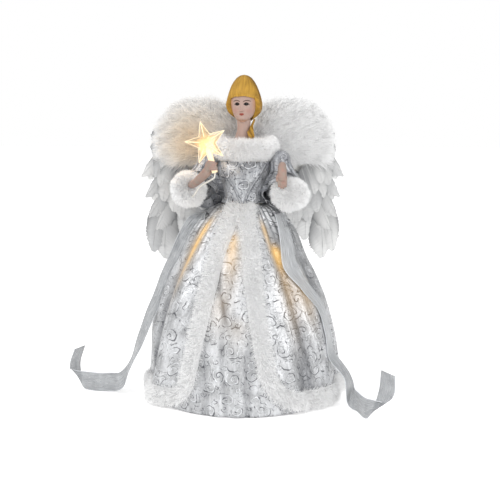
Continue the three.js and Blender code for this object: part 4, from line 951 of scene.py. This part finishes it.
def makeHair():
    # combed up from the hairline to a knot on top; the edge at the hairline rolls in to the skull
    c = hair
    s = np.linspace(-math.pi, math.pi, c["cols"], endpoint=False)[None, :]
    side = np.abs(s)
    line = mix(25.4 - 2.4 * (side / 0.95) ** 2, 3.0, smoothstep(0.95, 1.36, side))
    line = np.maximum(line, 3.0) + 0.2 * np.sin(9 * s) * np.exp(-(side / 0.8) ** 2)
    up = np.linspace(0, 1, c["rows"])[:, None]
    h = mix(line, c["top"], up ** 0.9)
    share, deep, back = smoothTable(h, c["sections"])
    near = 1 - smoothstep(0.0, 0.2, up)
    roll = 1 - (0.05 + 0.25 * smoothstep(0.8, 1.4, side)) * near ** 2
    comb = s + 0.05 * np.sin(3 * s + 5 * up) + 0.55 * np.sin(s) * (1 - up) ** 1.5
    lock = 0.5 + 0.42 * ripple(vec(comb / 0.2, up / 0.8, 0), 1.0, 11)
    fine = 0.5 + 0.42 * ripple(vec(comb / 0.06, up / 0.6, 0), 1.0, 12)
    tuft = ripple(vec(9 * s, 0 * s, 0.7 * h), 4.5, 6) * smoothstep(15, 7, h)
    relief = (0.26 * lock + 0.16 * fine + 0.75 * tuft - 0.24) * smoothstep(0.99, 0.9, up)
    half = c["width"] / 2 * share
    x = (half * roll + relief * np.minimum(1, half / 5)) * np.sin(s)
    y = back - (deep * roll + relief * np.minimum(1, deep / 5)) * np.cos(s)
    cap = vec(x, y, head["chin"] + h)
    x, y = half * c["inset"] * np.sin(s), back - deep * c["inset"] * np.cos(s)
    inner = vec(x, y, head["chin"] + h + 0.6 * near)
    grid = turnedZ(np.concatenate([inner[:1], cap]), head["turned"])
    # painted light on the hair: lighter on raised locks and tufts and at the front hairline as painted
    # highlight, darker in the grooves, at the sides and high on the sides as painted shade
    edge = smoothstep(0.5, 0.95, up) * smoothstep(0.2, 0.9, side)
    tone = 0.72 + 0.26 * (lock - 0.5) + 0.36 * (fine - 0.5) + 0.3 * tuft + 0.1 * near ** 2
    tone = np.clip(tone - 0.45 * smoothstep(0.75, 1.6, side) - 0.3 * edge, 0, 1.2)
    tone = np.concatenate([0 * tone[:1], tone])
    piece = addMesh("combed_hair", *closedShell(grid), hairLook, paint=hairPaint(tone))
    return settle(piece, "figure", "hair", "hair")


def tubeFrame(line):
    # way along a line and two steady directions across it
    way = unit(np.gradient(line, axis=0))
    side = np.zeros_like(line)
    side[0] = unit(np.cross(way[0], [0.3, 0.9, 0.2]))
    for k in range(1, len(line)):  # carried from ring to ring
        side[k] = unit(side[k - 1] - way[k] * (side[k - 1] @ way[k]))
    return way, side, np.cross(way, side)


def tube(line, radii, sides, lobes=0, twist=0.0, depth=0.0):
    # round or lobed section carried along a line, with round ends
    way, side, other = tubeFrame(line)
    a = ring(sides)[None, :]
    t = np.linspace(0, 1, len(line))[:, None]
    r = radii[:, None] * (1 + depth * np.cos(lobes * a + twist * t))
    section = np.cos(a)[..., None] * side[:, None] + np.sin(a)[..., None] * other[:, None]
    grid = line[:, None] + r[..., None] * section
    ends = []
    for k, sign in ((0, -1), (-1, 1)):
        caps = [line[k] + (grid[k] - line[k]) * c + sign * way[k] * radii[k] * s
                for c, s in ((0.8, 0.55), (0.35, 0.9), (0.01, 1.0))]
        ends.append(np.stack(caps[::-1] if sign < 0 else caps))
    return np.concatenate([ends[0], grid, ends[1]])


def makeRinglet():
    # a lobed tube twisted along its way down
    c = ringlet
    line = turnedZ(smoothPath(c["stops"], c["steps"]), head["turned"])
    radii = np.interp(np.linspace(0, 1, c["steps"]), *c["radii"])
    grid = tube(line, radii, c["sides"], c["lobes"], c["twist"], c["depth"])
    a = ring(c["sides"])[None, :]
    t = np.linspace(0, 1, len(grid))[:, None]
    # painted light on the ringlet: lighter on the twisted lobes, painted shade in the grooves between them
    tone = 0.45 + 0.35 * np.cos(c["lobes"] * a + c["twist"] * t) + 0.2 * np.sin(12 * a + 40 * t)
    piece = addMesh("hair_ringlet", *closedShell(grid), hairLook, paint=np.clip(hairPaint(tone), 0, 1))
    return settle(piece, "figure", "hair", "ringlet")


collar = dict(steps=120, sides=26, wide=25, front=17.5, back=11.5, rise=8.2, dip=2.0, thick=5.0, tall=7.4,
              insideWide=23.4, insideDeep=14.6)


def makeCollar():
    # plush loop round the shoulders, pushed out to lie on the plate and the bodice
    c = collar
    a, b = ring(c["steps"])[:, None], ring(c["sides"])[None, :]
    front = np.cos(a)
    spine = vec(c["wide"] * np.sin(a), -front * np.where(front > 0, c["front"], c["back"]),
                torso["top"] + c["rise"] - c["dip"] * front)
    out = unit(vec(np.sin(a) * 0.9, -front, 0 * a))
    grid = spine + out * (np.cos(b) * c["thick"])[..., None] + vec(0, 0, np.sin(b) * c["tall"])
    reach = np.hypot(grid[..., 0] / c["insideWide"], grid[..., 1] / c["insideDeep"])
    grid[..., :2] *= np.maximum(1, 1 / np.maximum(reach, 0.2))[..., None]
    grid = grid + 0.5 * out * ripple(grid, 14.0, 3)[..., None]
    rise = grid - spine
    weight = smoothstep(-0.9, -0.1, (unit(rise) * out).sum(-1))
    piece = pilePiece("collar_fur", grid, True, furLook, rise, count=21000, seed=41, length=4.6, width=0.34,
                      lean=np.array([0, 0, 0.15]), weight=weight, spread=0.45)
    return settle(piece, "figure", "plush", "collar")


makeHair()
makeRinglet()
makeCollar()
print("figure ready")


# arms: where a value differs, it is given for the figure's left (1) and right (-1)

arms = dict(spread=34.0, forward=2.0, height=222.0, endRadius=16.0, cuffRadius=12.0, cuffPlush=6.0, tip=105.0,
            reach={1: 9.5, -1: 18.0}, yaw={1: 0.0, -1: 35.0}, cuffLift={1: 1.0, -1: 5.0},
            cuffTall={1: 0.86, -1: 0.95}, flare={1: 0.6, -1: 1.12}, hang={1: 3.5, -1: 14.0})
# sections are share of the reach, y, z, radius, tip from level
sleeve = dict(rows=90, cols=120, girth=12, wall=0.45, sections=[
    [0, 0, 9.3, 0.3, 0], [0, 0, 8.6, 4.0, 0], [0, 0, 6.4, 7.1, 0], [0, 0, 3, 9.0, 0], [0, 0.3, -2, 9.9, 0],
    [0.26, 1.6, -12, 12.2, 15], [0.5, 0.6, -22, 14.6, 50], [0.8, -5, -29, 15.7, 85], [1, -11, -32, 16, 105]])
cuff = dict(steps=80, sides=26, core=3.4, inward=3.3, forward=3.2, seat=0.45)


def shoulderAt(side):
    return np.array([side * arms["spread"], -arms["forward"], arms["height"]])


def tilted(v, side, tip):
    # turn about X by minus tip, then about Z by the cuff's yaw, which grows with tip
    x, y, z = v[..., 0], v[..., 1], v[..., 2]
    t = -rad(tip)
    y, z = y * np.cos(t) - z * np.sin(t), y * np.sin(t) + z * np.cos(t)
    w = -side * rad(arms["yaw"][side]) * tip / arms["tip"]
    return vec(x * np.cos(w) - y * np.sin(w), x * np.sin(w) + y * np.cos(w), z)


def makeSleeve(side, name):
    # rings from the shoulder to the cuff, tipped forwards more and more, with lengthwise folds;
    # the inner side is drawn out and hangs
    rows, cols = sleeve["rows"], sleeve["cols"]
    place = np.linspace(0, len(sleeve["sections"]) - 1, rows)[:, None]
    x, y, z, radius, tip = smoothTable(place, numbered(sleeve["sections"]))
    z = z + arms["cuffLift"][side] * smoothstep(5, 8, place)
    a = ring(cols)[None, :]
    fold = 1.5 * np.sin(8 * a + 1.5 * np.sin(place)) + 0.7 * np.sin(15 * a + place * 2)
    fold = smoothstep(2.5, 5.5, place) * fold
    r = np.maximum(radius, 0.2) + np.minimum(0, fold) - 0.1
    within = np.clip(-np.cos(a), 0, 1)
    inner = 1 + arms["flare"][side] * smoothstep(4.4, 6.4, place) * within ** 1.5
    section = vec(side * r * np.cos(a) * inner, r * np.sin(a), 0 * r)
    grid = tilted(section, side, np.broadcast_to(tip, r.shape))
    grid = grid + vec(side * x * arms["reach"][side], y, z) + shoulderAt(side)
    grid[..., 2] -= arms["hang"][side] * smoothstep(4.8, 6.4, place) * smoothstep(8, 7, place) * within ** 1.2
    length = runLength(grid.mean(1))[:, None] + 2 * place
    uv = gridUv(np.linspace(0, turn, cols + 1)[None, :] * sleeve["girth"] * mm, length * mm)
    faces = gridFaces(rows, cols, joinCols=True)
    if side > 0:
        faces, uv = faces[:, ::-1], uv.reshape(-1, 4, 2)[:, ::-1].reshape(-1, 2)
    # painted shade in the valleys of the lengthwise folds
    valleyShade = smoothstep(0.3, -1.6, fold)
    return sewn(name + "_sleeve_cloth", grid, faces, sleeveSilver, uv, {"valleyShade": valleyShade}, sleeve["wall"],
                name + "_arm", name + "_sleeve")


def makeCuff(side, name, seed):
    # plush loop at the end of the sleeve, drawn in to a bowl round the wrist
    k = arms
    facing = tilted(np.array([0, 0, -1.0]), side, k["tip"])
    reach = math.sqrt(k["cuffPlush"] ** 2 - (k["endRadius"] - k["cuffRadius"]) ** 2) + cuff["seat"]
    y, z = sleeve["sections"][-1][1:3]
    sleeveEnd = np.array([side * k["reach"][side], y, z + k["cuffLift"][side]])
    centre = sleeveEnd + facing * reach + shoulderAt(side)
    across = unit(np.cross([0, 0, 1.0], facing))
    along = np.cross(facing, across)
    a, b = ring(cuff["steps"])[:, None, None], ring(cuff["sides"])[None, :, None]
    out = np.cos(a) * across + np.sin(a) * along * k["cuffTall"][side]
    spine = centre + out * k["cuffRadius"]
    inward = np.where(np.cos(b) < 0, cuff["inward"], 1.0)
    grid = spine + (out * np.cos(b) * inward + facing * np.sin(b)) * cuff["core"]
    grid = grid + facing * cuff["forward"] * np.clip(-np.cos(b), 0, 1)
    piece = pilePiece(name + "_cuff_fur", grid, True, cuffLook, grid - spine, count=15000, seed=seed,
                      length=3.9, width=0.34, lean=0.5 * out + 0 * grid, spread=0.5)
    return settle(piece, name + "_arm", "plush", name + "_cuff")


star = dict(centre=np.array([5, -48, 18.0]), tilt=16.0, radius=19.0, notch=8.2, depth=11.0, bead=0.32, lamp=4)
starDown = np.array([math.sin(rad(star["tilt"])), 0, -math.cos(rad(star["tilt"]))])
starCentre = star["centre"] + shoulderAt(-1)
hand = dict(voxel=0.28, sides=16, ease=0.5, passes=5, left=[
    ([[2, -7, -4.5], [2.4, -15, -4.5], [2.6, -20, -9], [2.8, -21.5, -15]], [3.2, 3.7, 4.3, 4.2]),
    ([[0.4, -19.6, -9.6], [-1.8, -22, -14], [-2, -22.6, -17.4]], [1.3, 1.2, 0.8])], right=[
    ([[-18.2, -10, -23], [-15, -15, -22.6], [-9, -24.5, -20], [-2.2, -36, -14.8], [5, -44.2, -8.2]],
     [3.0, 3.2, 3.6, 4.0, 4.4])])


def holderAt(distance):
    return star["centre"] + starDown * distance


def leftLimbs():
    # palm, thumb and four fingers side by side
    limbs = list(hand["left"])
    for k in range(4):
        x, reach = -0.3 + 2.1 * k, 24.5 - abs(k - 1.6) * 1.3
        limbs.append(([[x, -21.4, -14], [x, -22.6, -19.5], [x, -21.8, -reach]], [1.35, 1.25, 0.9]))
    return limbs


def rightLimbs():
    # forearm, then four fingers and a thumb closed round the star's holder
    limbs = list(hand["right"])
    for k in range(4):
        grip = holderAt(18.5 + 2 * k)
        root = [3.7 + 0.5 * k, -43.2, -6.6 - 1.2 * k]
        finger = [root, grip + [-3.6, -1.6, 0.4], grip + [-0.4, -4.1, 0.6], grip + [3, -3, 0.4]]
        limbs.append((finger, [1.6, 1.5, 1.4, 1.0]))
    thumb = [[4.3, -42, -8], holderAt(21) + [1.4, 3.8, 0], holderAt(19) + [3.8, 1.6, 0]]
    limbs.append((thumb, [1.5, 1.3, 0.9]))
    return limbs


def makeHand(side, name, limbs):
    # limbs are tubes fused by a fine remesh and smoothed
    shells = []
    for path, radii in limbs:
        line = smoothPath(np.array(path, float) + shoulderAt(side), 6 * len(path))
        spread = np.interp(np.linspace(0, 1, len(line)), np.linspace(0, 1, len(radii)), radii)
        shells.append(closedShell(tube(line, spread, hand["sides"])))
    rough = addMesh(name + "_rough", *merged(*shells), skinLook)
    fuse = rough.modifiers.new("fuse", "REMESH")
    fuse.mode, fuse.voxel_size = "VOXEL", hand["voxel"] * mm
    ease = rough.modifiers.new("ease", "SMOOTH")
    ease.factor, ease.iterations = hand["ease"], hand["passes"]
    done = bpy.data.meshes.new_from_object(rough.evaluated_get(bpy.context.evaluated_depsgraph_get()))
    bpy.data.objects.remove(rough)
    at = np.zeros(len(done.vertices) * 3, np.float32)
    done.vertices.foreach_get("co", at)
    flush = ripple(at.reshape(-1, 3) / mm, 5.0, 8)[:, None] * 0.12 + 0.12
    setPaint(done, mix(np.array(head["hand"]), np.array(head["blush"]), flush))
    done.materials.clear()
    done.materials.append(skinLook)
    return settle(addObject(name + "_hand_skin", done), name + "_arm", "skin", name + "_hand")


def makeStarEdges():
    # moulded bead along the star's outline and its front and back ridges, with a painted glow on the edges
    k = np.arange(10)
    a = rad(90 + star["tilt"] + 36 * k)
    reach = np.where(k % 2, star["notch"], star["radius"])
    rim = vec(reach * np.cos(a), 0 * a, reach * np.sin(a)) + starCentre
    runs = list(zip(rim, np.roll(rim, -1, axis=0)))
    for y in (-1, 1):
        top = starCentre + [0, y * star["depth"] / 2, 0]
        runs += [(mix(top, point, 0.3), point) for point in rim[::2]]
    steps = np.linspace(0, 1, 6)[:, None]
    shells = [closedShell(tube(mix(p, q, steps), np.full(6, star["bead"]), 8)) for p, q in runs]
    beadGlowLook = litPlastic("star_edge", srgb(255, 240, 210), srgb(255, 220, 150), 0.3)
    return settle(addMesh("star_edges", *merged(*shells), beadGlowLook), "right_arm", "star")


sleeveLeft, sleeveRight = makeSleeve(1, "left"), makeSleeve(-1, "right")
cuffLeft, cuffRight = makeCuff(1, "left", 51), makeCuff(-1, "right", 55)
makeHand(1, "left", leftLimbs())
makeHand(-1, "right", rightLimbs())
makeStarEdges()
nodes["star"].material_slots[0].material = clearStar("clear_star", starCentre + starDown * star["lamp"])
holderLook = litPlastic("star_holder", srgb(255, 232, 196), srgb(255, 222, 170), 0.35)
nodes["star_lamp"].material_slots[0].material = holderLook
print("arms ready")


# wings: laid out flat in (outwards, up), then bent and swept

wing = dict(bend=165.0, spread=7.0, back=27.0, height=222.0, sweep={1: 13.0, -1: -3.0},
            reach={1: 0.95, -1: 1.0}, pitch=1.3, base=3.0)
# feathers are tip outwards, tip up, lean from level, length, width
flights = [[100, -20, 46, 64, 20], [95.5, -40, 50, 70, 21], [92.5, -60, 56, 76, 21], [87, -76, 62, 80, 21],
           [88, -94, 72, 84, 25], [74, -100, 80, 86, 31]]
flight = dict(beyond=[46, -78], innermost=[40, -70, 90, 74, 28], behind=[-6.5, 8], slim=0.45, curve=-0.03)
coverts = [[83, 9, 52, 45], [81, -17, 58, 48], [73, -42, 66, 50], [55, -60, 75, 52], [35, -62, 84, 50]]
covert = dict(width=19, rows=[(9, 0.0, 1.0), (8, 12.0, 0.85)])  # count, pulled back by, size
backing = dict(thickness=(1.25, 2.65), steps=90, shares=(0.02, 0.35, 0.7, 1), outline=[
    [8, 34], [18, 45], [37, 49], [54, 40], [67, 18], [66, -12], [50, -32], [22, -28], [8, -6]])
# rings of the down are share of the outline, height near the body, height far out
down = dict(
    steps=120, low=8.1, source=(-18.0, -4.0), flow=1.7, lampReach=27, lampTint=0.85, lamp=[-25, 40, -3],
    outline=[[-2, 26], [8, 47], [31, 55], [55, 50.5], [70, 36.5], [77, 17], [68, 1], [44, -4], [20, -9],
             [0, 0]],
    rings=[(0.05, 0, 0), (0.6, 0, 0), (0.92, 0, 0), (0.98, 0.8, 1.0), (0.9, 1.6, 2.0), (0.78, 2.4, 3.0),
           (0.62, 3, 3.8), (0.45, 3.3, 4.4), (0.25, 3.5, 4.8), (0.05, 3.6, 5.0)])


def wingPoint(side, out, up, forward):
    # flat wing (outwards, up, forwards) bent back over a cylinder, then swept about its hinge
    a = out * wing["reach"][side] / wing["bend"]
    x = (wing["bend"] + forward) * np.sin(a)
    y = wing["bend"] - (wing["bend"] + forward) * np.cos(a)
    hinge = [side * wing["spread"], wing["back"], wing["height"]]
    return turnedZ(vec(side * x, y, up), side * wing["sweep"][side]) + hinge


def vaneWidth(t, blunt):
    # a bell along the feather, fullest past the middle; a blunt one rounds off later than a pointed one
    swell = np.sin(math.pi * np.clip(t, 0, 1) ** (1.15 + 0.22 * blunt))
    return np.maximum(0.05, swell ** (0.85 - 0.28 * blunt))


feather = dict(start=0.2, end=0.985, ragged=0.025, tipRagged=0.05, sweep=0.75, crown=1.5, barb=0.06,
               seat=0.45, quillSeat=1.25, quill=(0.3, 0.1), uvStep=0.113)


def oneFeather(side, tipAt, lean, length, width, layer, seed, rows=64, cols=13, blunt=0.7, slim=0.0,
               curve=0.05):
    # barbs run from the quill forwards to the edge; slim takes width off the outer vane, curve bows the quill
    f = feather
    draw = np.random.default_rng(seed)
    t = np.linspace(f["start"], f["end"], rows)[:, None]
    across = np.linspace(-1, 1, cols)[None, :]
    aside = np.abs(across)
    rough = f["ragged"] + f["tipRagged"] * smoothstep(0.5, 0.9, t)
    ragged = 1 + rough * draw.normal(size=(rows, 1)) * aside
    outerVane = 1 + 0.3 * slim - 1.3 * slim * smoothstep(-0.3, 0.5, across)
    half = 0.5 * width * vaneWidth(t, blunt) * ragged * outerVane
    along = t * length + f["sweep"] * half * aside * smoothstep(0.98, 0.6, t)
    run = np.array([math.cos(rad(lean)), -math.sin(rad(lean))])

    def place(along, offset, high):
        # from a distance along the bowed quill and one beside it
        back, beside = length - along, offset + curve * length * np.sin(math.pi * along / length)
        out = tipAt[0] - run[0] * back - run[1] * beside
        return wingPoint(side, out, tipAt[1] - run[1] * back + run[0] * beside, high)

    barb = f["barb"] * draw.normal(size=(rows, 1)) * aside
    crown = f["crown"] * (np.cos(across * 1.3) - 0.4) * vaneWidth(t, blunt)
    grid = place(along, across * half, layer + f["seat"] + crown + barb)
    line = place(t[:, 0] * length, 0.0, layer + f["quillSeat"])[::3]
    quill = tube(line, np.linspace(*f["quill"], len(line)), 6)
    points, quads = merged((grid, gridFaces(rows, cols), []), closedShell(quill))[:2]
    quillUv = np.full((len(quads) * 4 - 4 * (rows - 1) * (cols - 1), 2), 0.5)
    uv = gridUv(across * half * mm, t * length * mm) + seed * f["uvStep"]
    # painted shade: darker towards the edges and the root, where the next feather lies over this one
    deep = 0.55 * aside ** 4 * smoothstep(0.97, 0.7, t) + 0.7 * smoothstep(0.9, 0.3, t)
    deep = np.concatenate([np.clip(deep, 0, 0.9).ravel(), np.zeros(quill.shape[0] * quill.shape[1])])
    return points, quads, np.concatenate([uv, quillUv]), deep


def featherPiece(name, feathers, body, *replaced):
    # all feathers of a row as one mesh
    points, quads = merged(*[(f[0], f[1], []) for f in feathers])[:2]
    uv, deep = (np.concatenate([f[k] for f in feathers]) for k in (2, 3))
    piece = addMesh(name, points, quads, look=vaneLook, uv=uv, values={"depth": deep})
    return settle(piece, body, "feather", *replaced)


def outlinePoints(stops, count):
    # closed smooth outline through a few points
    p = np.array(stops, float)
    k = np.linspace(0, len(p), count, endpoint=False)
    i, w = k.astype(int), (k % 1)[:, None]
    a, b, c, d = (p[(i + s) % len(p)] for s in (-1, 0, 1, 2))
    return b + 0.5 * w * (c - a + w * (2 * a - 5 * b + 4 * c - d + w * (3 * (b - c) + d - a)))


def padGrid(side, stops, count, rings):
    # rings from the middle to the outline and back: share of the outline, forwards near, forwards far
    rim = outlinePoints(stops, count)
    middle = rim.mean(0)
    rows = []
    for share, near, far in rings:
        at = middle + (rim - middle) * share
        rows.append(wingPoint(side, at[:, 0], at[:, 1], mix(near, far, smoothstep(12, 46, at[:, 0]))))
    return np.stack(rows)


def makeFlights(side, name, seed):
    # each long feather lies over the next lower one, with a shorter feather behind, between both tips
    pitch, row = wing["pitch"], []
    tips = [f[:2] for f in flights] + [flight["beyond"]]
    for k, (x, y, lean, length, width) in enumerate(flights):
        lowest = k > 3
        layer = wing["base"] + (2 - 0.4 * k) * pitch
        shape = {} if lowest else dict(slim=flight["slim"], curve=flight["curve"])
        row.append(oneFeather(side, (x, y), lean, length, width, layer, seed + k, blunt=0.8 * lowest,
                              **shape))
        between = (np.array(tips[k]) + tips[k + 1]) / 2 + flight["behind"]
        row.append(oneFeather(side, between, lean + 3, length * 0.9, width * 0.85, layer - 0.3 * pitch,
                              seed + 20 + k, rows=52, slim=0.0 if k > 2 else 0.3))
    x, y, lean, length, width = flight["innermost"]
    row.append(oneFeather(side, (x, y), lean, length, width, wing["base"] - 0.2 * pitch, seed + 30, rows=52))
    featherPiece(name + "_flight_feathers", row, name + "_wing", *[f"{name}_flight_{k}" for k in range(1, 7)])


def makeCoverts(side, name, seed):
    # two rows of short feathers spread over the same smooth table, each a little out of line
    draw = np.random.default_rng(seed)
    short = []
    for row, (count, pull, shrink) in enumerate(covert["rows"]):
        for k, place in enumerate(np.linspace(0, len(coverts) - 1, count)):
            x, y, lean, length = (float(v) for v in smoothTable(np.array(place), numbered(coverts)))
            run = np.array([math.cos(rad(lean)), -math.sin(rad(lean))])
            at = np.array([x, y]) - run * pull + draw.normal(size=2) * 1.2
            layer = wing["base"] + (3 + 0.7 * row) * wing["pitch"] + 0.25 * (k % 2)
            lean = lean + draw.normal() * 3
            short.append(oneFeather(side, at, lean, length * shrink, covert["width"] * shrink, layer,
                                    seed + 40 + 10 * row + k, rows=46, cols=11))
    featherPiece(name + "_covert_feathers", short, name + "_wing", name + "_covert_row")


def makeBacking(side, name):
    # flat felt: out to the outline behind, back to the middle in front
    b = backing
    behind, before = ([(share, high, high) for share in b["shares"]] for high in b["thickness"])
    felt, faces = closedShell(padGrid(side, b["outline"], b["steps"], behind + before[::-1]))[:2]
    piece = addMesh(name + "_felt_backing", felt, faces if side > 0 else faces[:, ::-1], look=feltLook)
    settle(piece, name + "_wing", "felt", name + "_wing_backing")


def makeDown(side, name, seed):
    # a low cushion with strands that flow out from the wing's root, longest below and far from the sleeves
    low = down["low"]
    rings = [(share, low + near, low + far) for share, near, far in down["rings"]]
    fluff = padGrid(side, down["outline"], down["steps"], rings)
    middle = fluff[2].mean(0)
    flow = down["flow"] * unit(fluff - wingPoint(side, *down["source"], low))
    weight = np.ones(fluff.shape[:2])
    weight[:2] = 0.05
    below = smoothstep(6, 34, middle[2] - fluff[..., 2])
    longer = 1 + below * mix(-0.5, 1.1, smoothstep(42, 62, np.abs(fluff[..., 0])))
    outward = fluff - middle + np.array([0, 12.0, 0])
    # painted warm light of the star on the right wing's down
    paintedLampLight = None if side > 0 else (starCentre + down["lamp"], down["lampReach"], down["lampTint"])
    piece = pilePiece(name + "_down_fluff", fluff, False, downLook, outward, paintedLampLight, count=36000,
                      seed=seed + 70, length=8.5, width=0.4, lean=flow, weight=weight, spread=0.4, curl=0.4,
                      droop=0.2, longer=longer)
    settle(piece, name + "_wing", "feather", name + "_down")


for side, name, seed in ((1, "left", 100), (-1, "right", 200)):
    makeFlights(side, name, seed)
    makeCoverts(side, name, seed)
    makeBacking(side, name)
    makeDown(side, name, seed)
print("wings ready")


# ribbons: stops on the skirt are (degrees, height), free ones are (x, y, z, crosswise direction)

ribbon = dict(width=18.0, thickness=0.3, rows=300, cols=13, above=1.0, left=[
    [[76, 174], [62, 152], [56, 128], [66, 108], [78, 88], [79, 66], [78, 46]], [
        [101, -25, 26.5, [0.25, 0.97, 0]], [105, -31, 10.8, [0.25, 0.6, 0.55]],
        [111.5, -43, 9.6, [0, 0.15, 1]], [122.5, -64, 9.4, [0.15, 0, 1]], [133, -71, 13, [0.7, -0.2, 0.6]],
        [139, -70, 26.5, [0.75, -0.6, 0.1]], [140, -67, 43, [0.7, -0.7, -0.1]]]], right=[
    [[80, 174]], [
        [47.5, -9.4, 160, [0.8, 0.3, 0.5]], [64.5, -14, 128, [0.7, 0.6, 0.3]],
        [77.5, -17.5, 97, [0.7, 0.65, 0.25]], [87, -19.5, 76, [0.6, 0.75, 0.2]],
        [98, -20.5, 48, [0.5, 0.85, 0.15]], [107.5, -21, 26, [0.3, 0.9, 0.2]],
        [116, -21.5, 12, [0.3, 0.6, 0.6]], [129, -21, 9.6, [0.1, 0.1, 1]], [146, -20, 9.4, [0, 0, 1]],
        [160, -18, 12, [0.35, -0.2, 0.8]], [164, -14, 24, [0.2, -0.97, 0.1]],
        [160, -11, 40, [0.3, -0.95, 0]]]])


def makeRibbon(side, name):
    # a flat band carried along a smooth line, its crosswise direction carried beside it, with a slight wave
    r = ribbon
    onSkirt, free = r[name]
    at, spread = [], []
    for degrees, z in onSkirt:
        angle = rad(degrees)
        share = angle + np.linspace(-0.5, 0.5, 7) * r["width"] / robeBase(z) - openingAngle(z)
        share = share / robeSpan(z)
        radius = robeBase(z) + robeFold(share if side > 0 else 1 - share, z).max() + r["above"]
        at.append([side * radius * math.sin(angle), -radius * math.cos(angle), z])
        spread.append([side * math.cos(angle), math.sin(angle), 0])
    for x, y, z, across in free:
        at.append([side * x, y, z])
        spread.append([side * across[0], across[1], across[2]])
    line = smoothPath(at, r["rows"])
    across = unit(smoothPath(spread, r["rows"]))
    facing = unit(np.cross(across, unit(np.gradient(line, axis=0))))
    s = np.linspace(-0.5, 0.5, r["cols"])
    length = runLength(line)[:, None]
    wave = 0.5 * np.sin(length / 9) * np.sin(s * 5) + 0.35 * np.sin(length / 5.3) * s
    grid = line[:, None] + across[:, None] * s[:, None] * r["width"] + facing[:, None] * wave[..., None]
    # painted light: the right ribbon is lighter on the part that lies on the robe
    laid = 0.7 * smoothstep(0.62, 0.5, length / length[-1]) * (side > 0) + 0 * wave
    uv = gridUv((s + 0.5) * r["width"] * mm, length * mm)
    piece = sewn(f"ribbon_{name}_organza", turnedZ(grid, skirt["turned"]), gridFaces(r["rows"], r["cols"]),
                 sheerLook, uv, {"laid": laid}, r["thickness"], "figure", "ribbon_" + name, slot="organza")


makeRibbon(1, "left")
makeRibbon(-1, "right")
print("ribbons ready")


# stage, light and camera; lengths in metres

stage = dict(floor=[[-4000, -3000, 0], [4000, -3000, 0], [4000, 5000, 0], [-4000, 5000, 0]], floorGlow=0.42,
             skySource=(-0.42, -0.52, 0.74), skyFrom=(-0.5, 0.9), skyTo=(0.38, 1.05))


def makeStage():
    # a floor that looks white, and a sky that is white to the eye but lights more strongly from one side
    look = newLook("pale_floor", Base_Color=(0.9, 0.9, 0.9), Roughness=0.9, Emission_Color=(1, 1, 1))
    path = look.put("LightPath")
    seen = look.most(path["Is Camera Ray"], look.most(path["Is Glossy Ray"], path["Is Transmission Ray"]))
    look.set(Emission_Strength=look.times(seen, stage["floorGlow"]))
    addMesh("floor", np.array(stage["floor"], float), [[0, 1, 2, 3]], look=look.owner)
    world = bpy.data.worlds.new("studio")
    bpy.context.scene.world = world
    sky = Shading(world, Color=(1, 1, 1))
    path = sky.put("LightPath")
    seen = sky.most(path["Is Camera Ray"], path["Is Transmission Ray"])
    toward = sky.vector("DOT_PRODUCT", sky.put("TexCoord")["Generated"], stage["skySource"], give="Value")
    dome = sky.ramp(toward, *stage["skyFrom"], To_Min=stage["skyTo"][0], To_Max=stage["skyTo"][1])
    sky.set(Strength=sky.put("Mix", {0: seen, 2: dome, 3: 1.0})[0])


def areaLight(name, place, target, power, size):
    lamp = bpy.data.lights.new(name, "AREA")
    lamp.energy, lamp.size = power, size
    holder = addObject(name, lamp)
    holder.location = place
    holder.rotation_euler = (Vector(target) - Vector(place)).to_track_quat("-Z", "Y").to_euler()


def starGlow():
    # a small warm light beside the star, which moves with the arm
    lamp = bpy.data.lights.new("star_glow", "POINT")
    lamp.energy, lamp.color, lamp.shadow_soft_size = 0.014, (1.0, 0.66, 0.32), 0.008
    holder = addObject("star_glow", lamp)
    holder.location = tuple((starCentre + [-27, 36, -4]) * mm)
    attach(holder, "right_arm")


view = dict(azimuth=5.0, distance=1.0, height=0.28, pitch=8.1, yaw=-0.32, focal=1077.0, frame=500,
            sensor=36.0)


def makeCamera():
    # on a circle round the figure, looking a little down
    lens = bpy.data.cameras.new("camera")
    lens.sensor_width, lens.lens = view["sensor"], view["focal"] / view["frame"] * view["sensor"]
    lens.clip_start, lens.clip_end = 0.01, 50
    camera = addObject("camera", lens)
    a = rad(view["azimuth"])
    camera.location = (math.sin(a) * view["distance"], -math.cos(a) * view["distance"], view["height"])
    camera.rotation_euler = (rad(90 - view["pitch"]), 0, rad(view["azimuth"] + view["yaw"]))
    bpy.context.scene.camera = camera


makeStage()
areaLight("key", (-0.75, -0.75, 0.95), (0, 0, 0.17), 4.0, 0.5)
areaLight("fill", (0.9, -0.8, 0.45), (0, 0, 0.15), 5.3, 0.7)
starGlow()
makeCamera()
bpy.context.scene.view_settings.view_transform = "Standard"

print("scene ready")
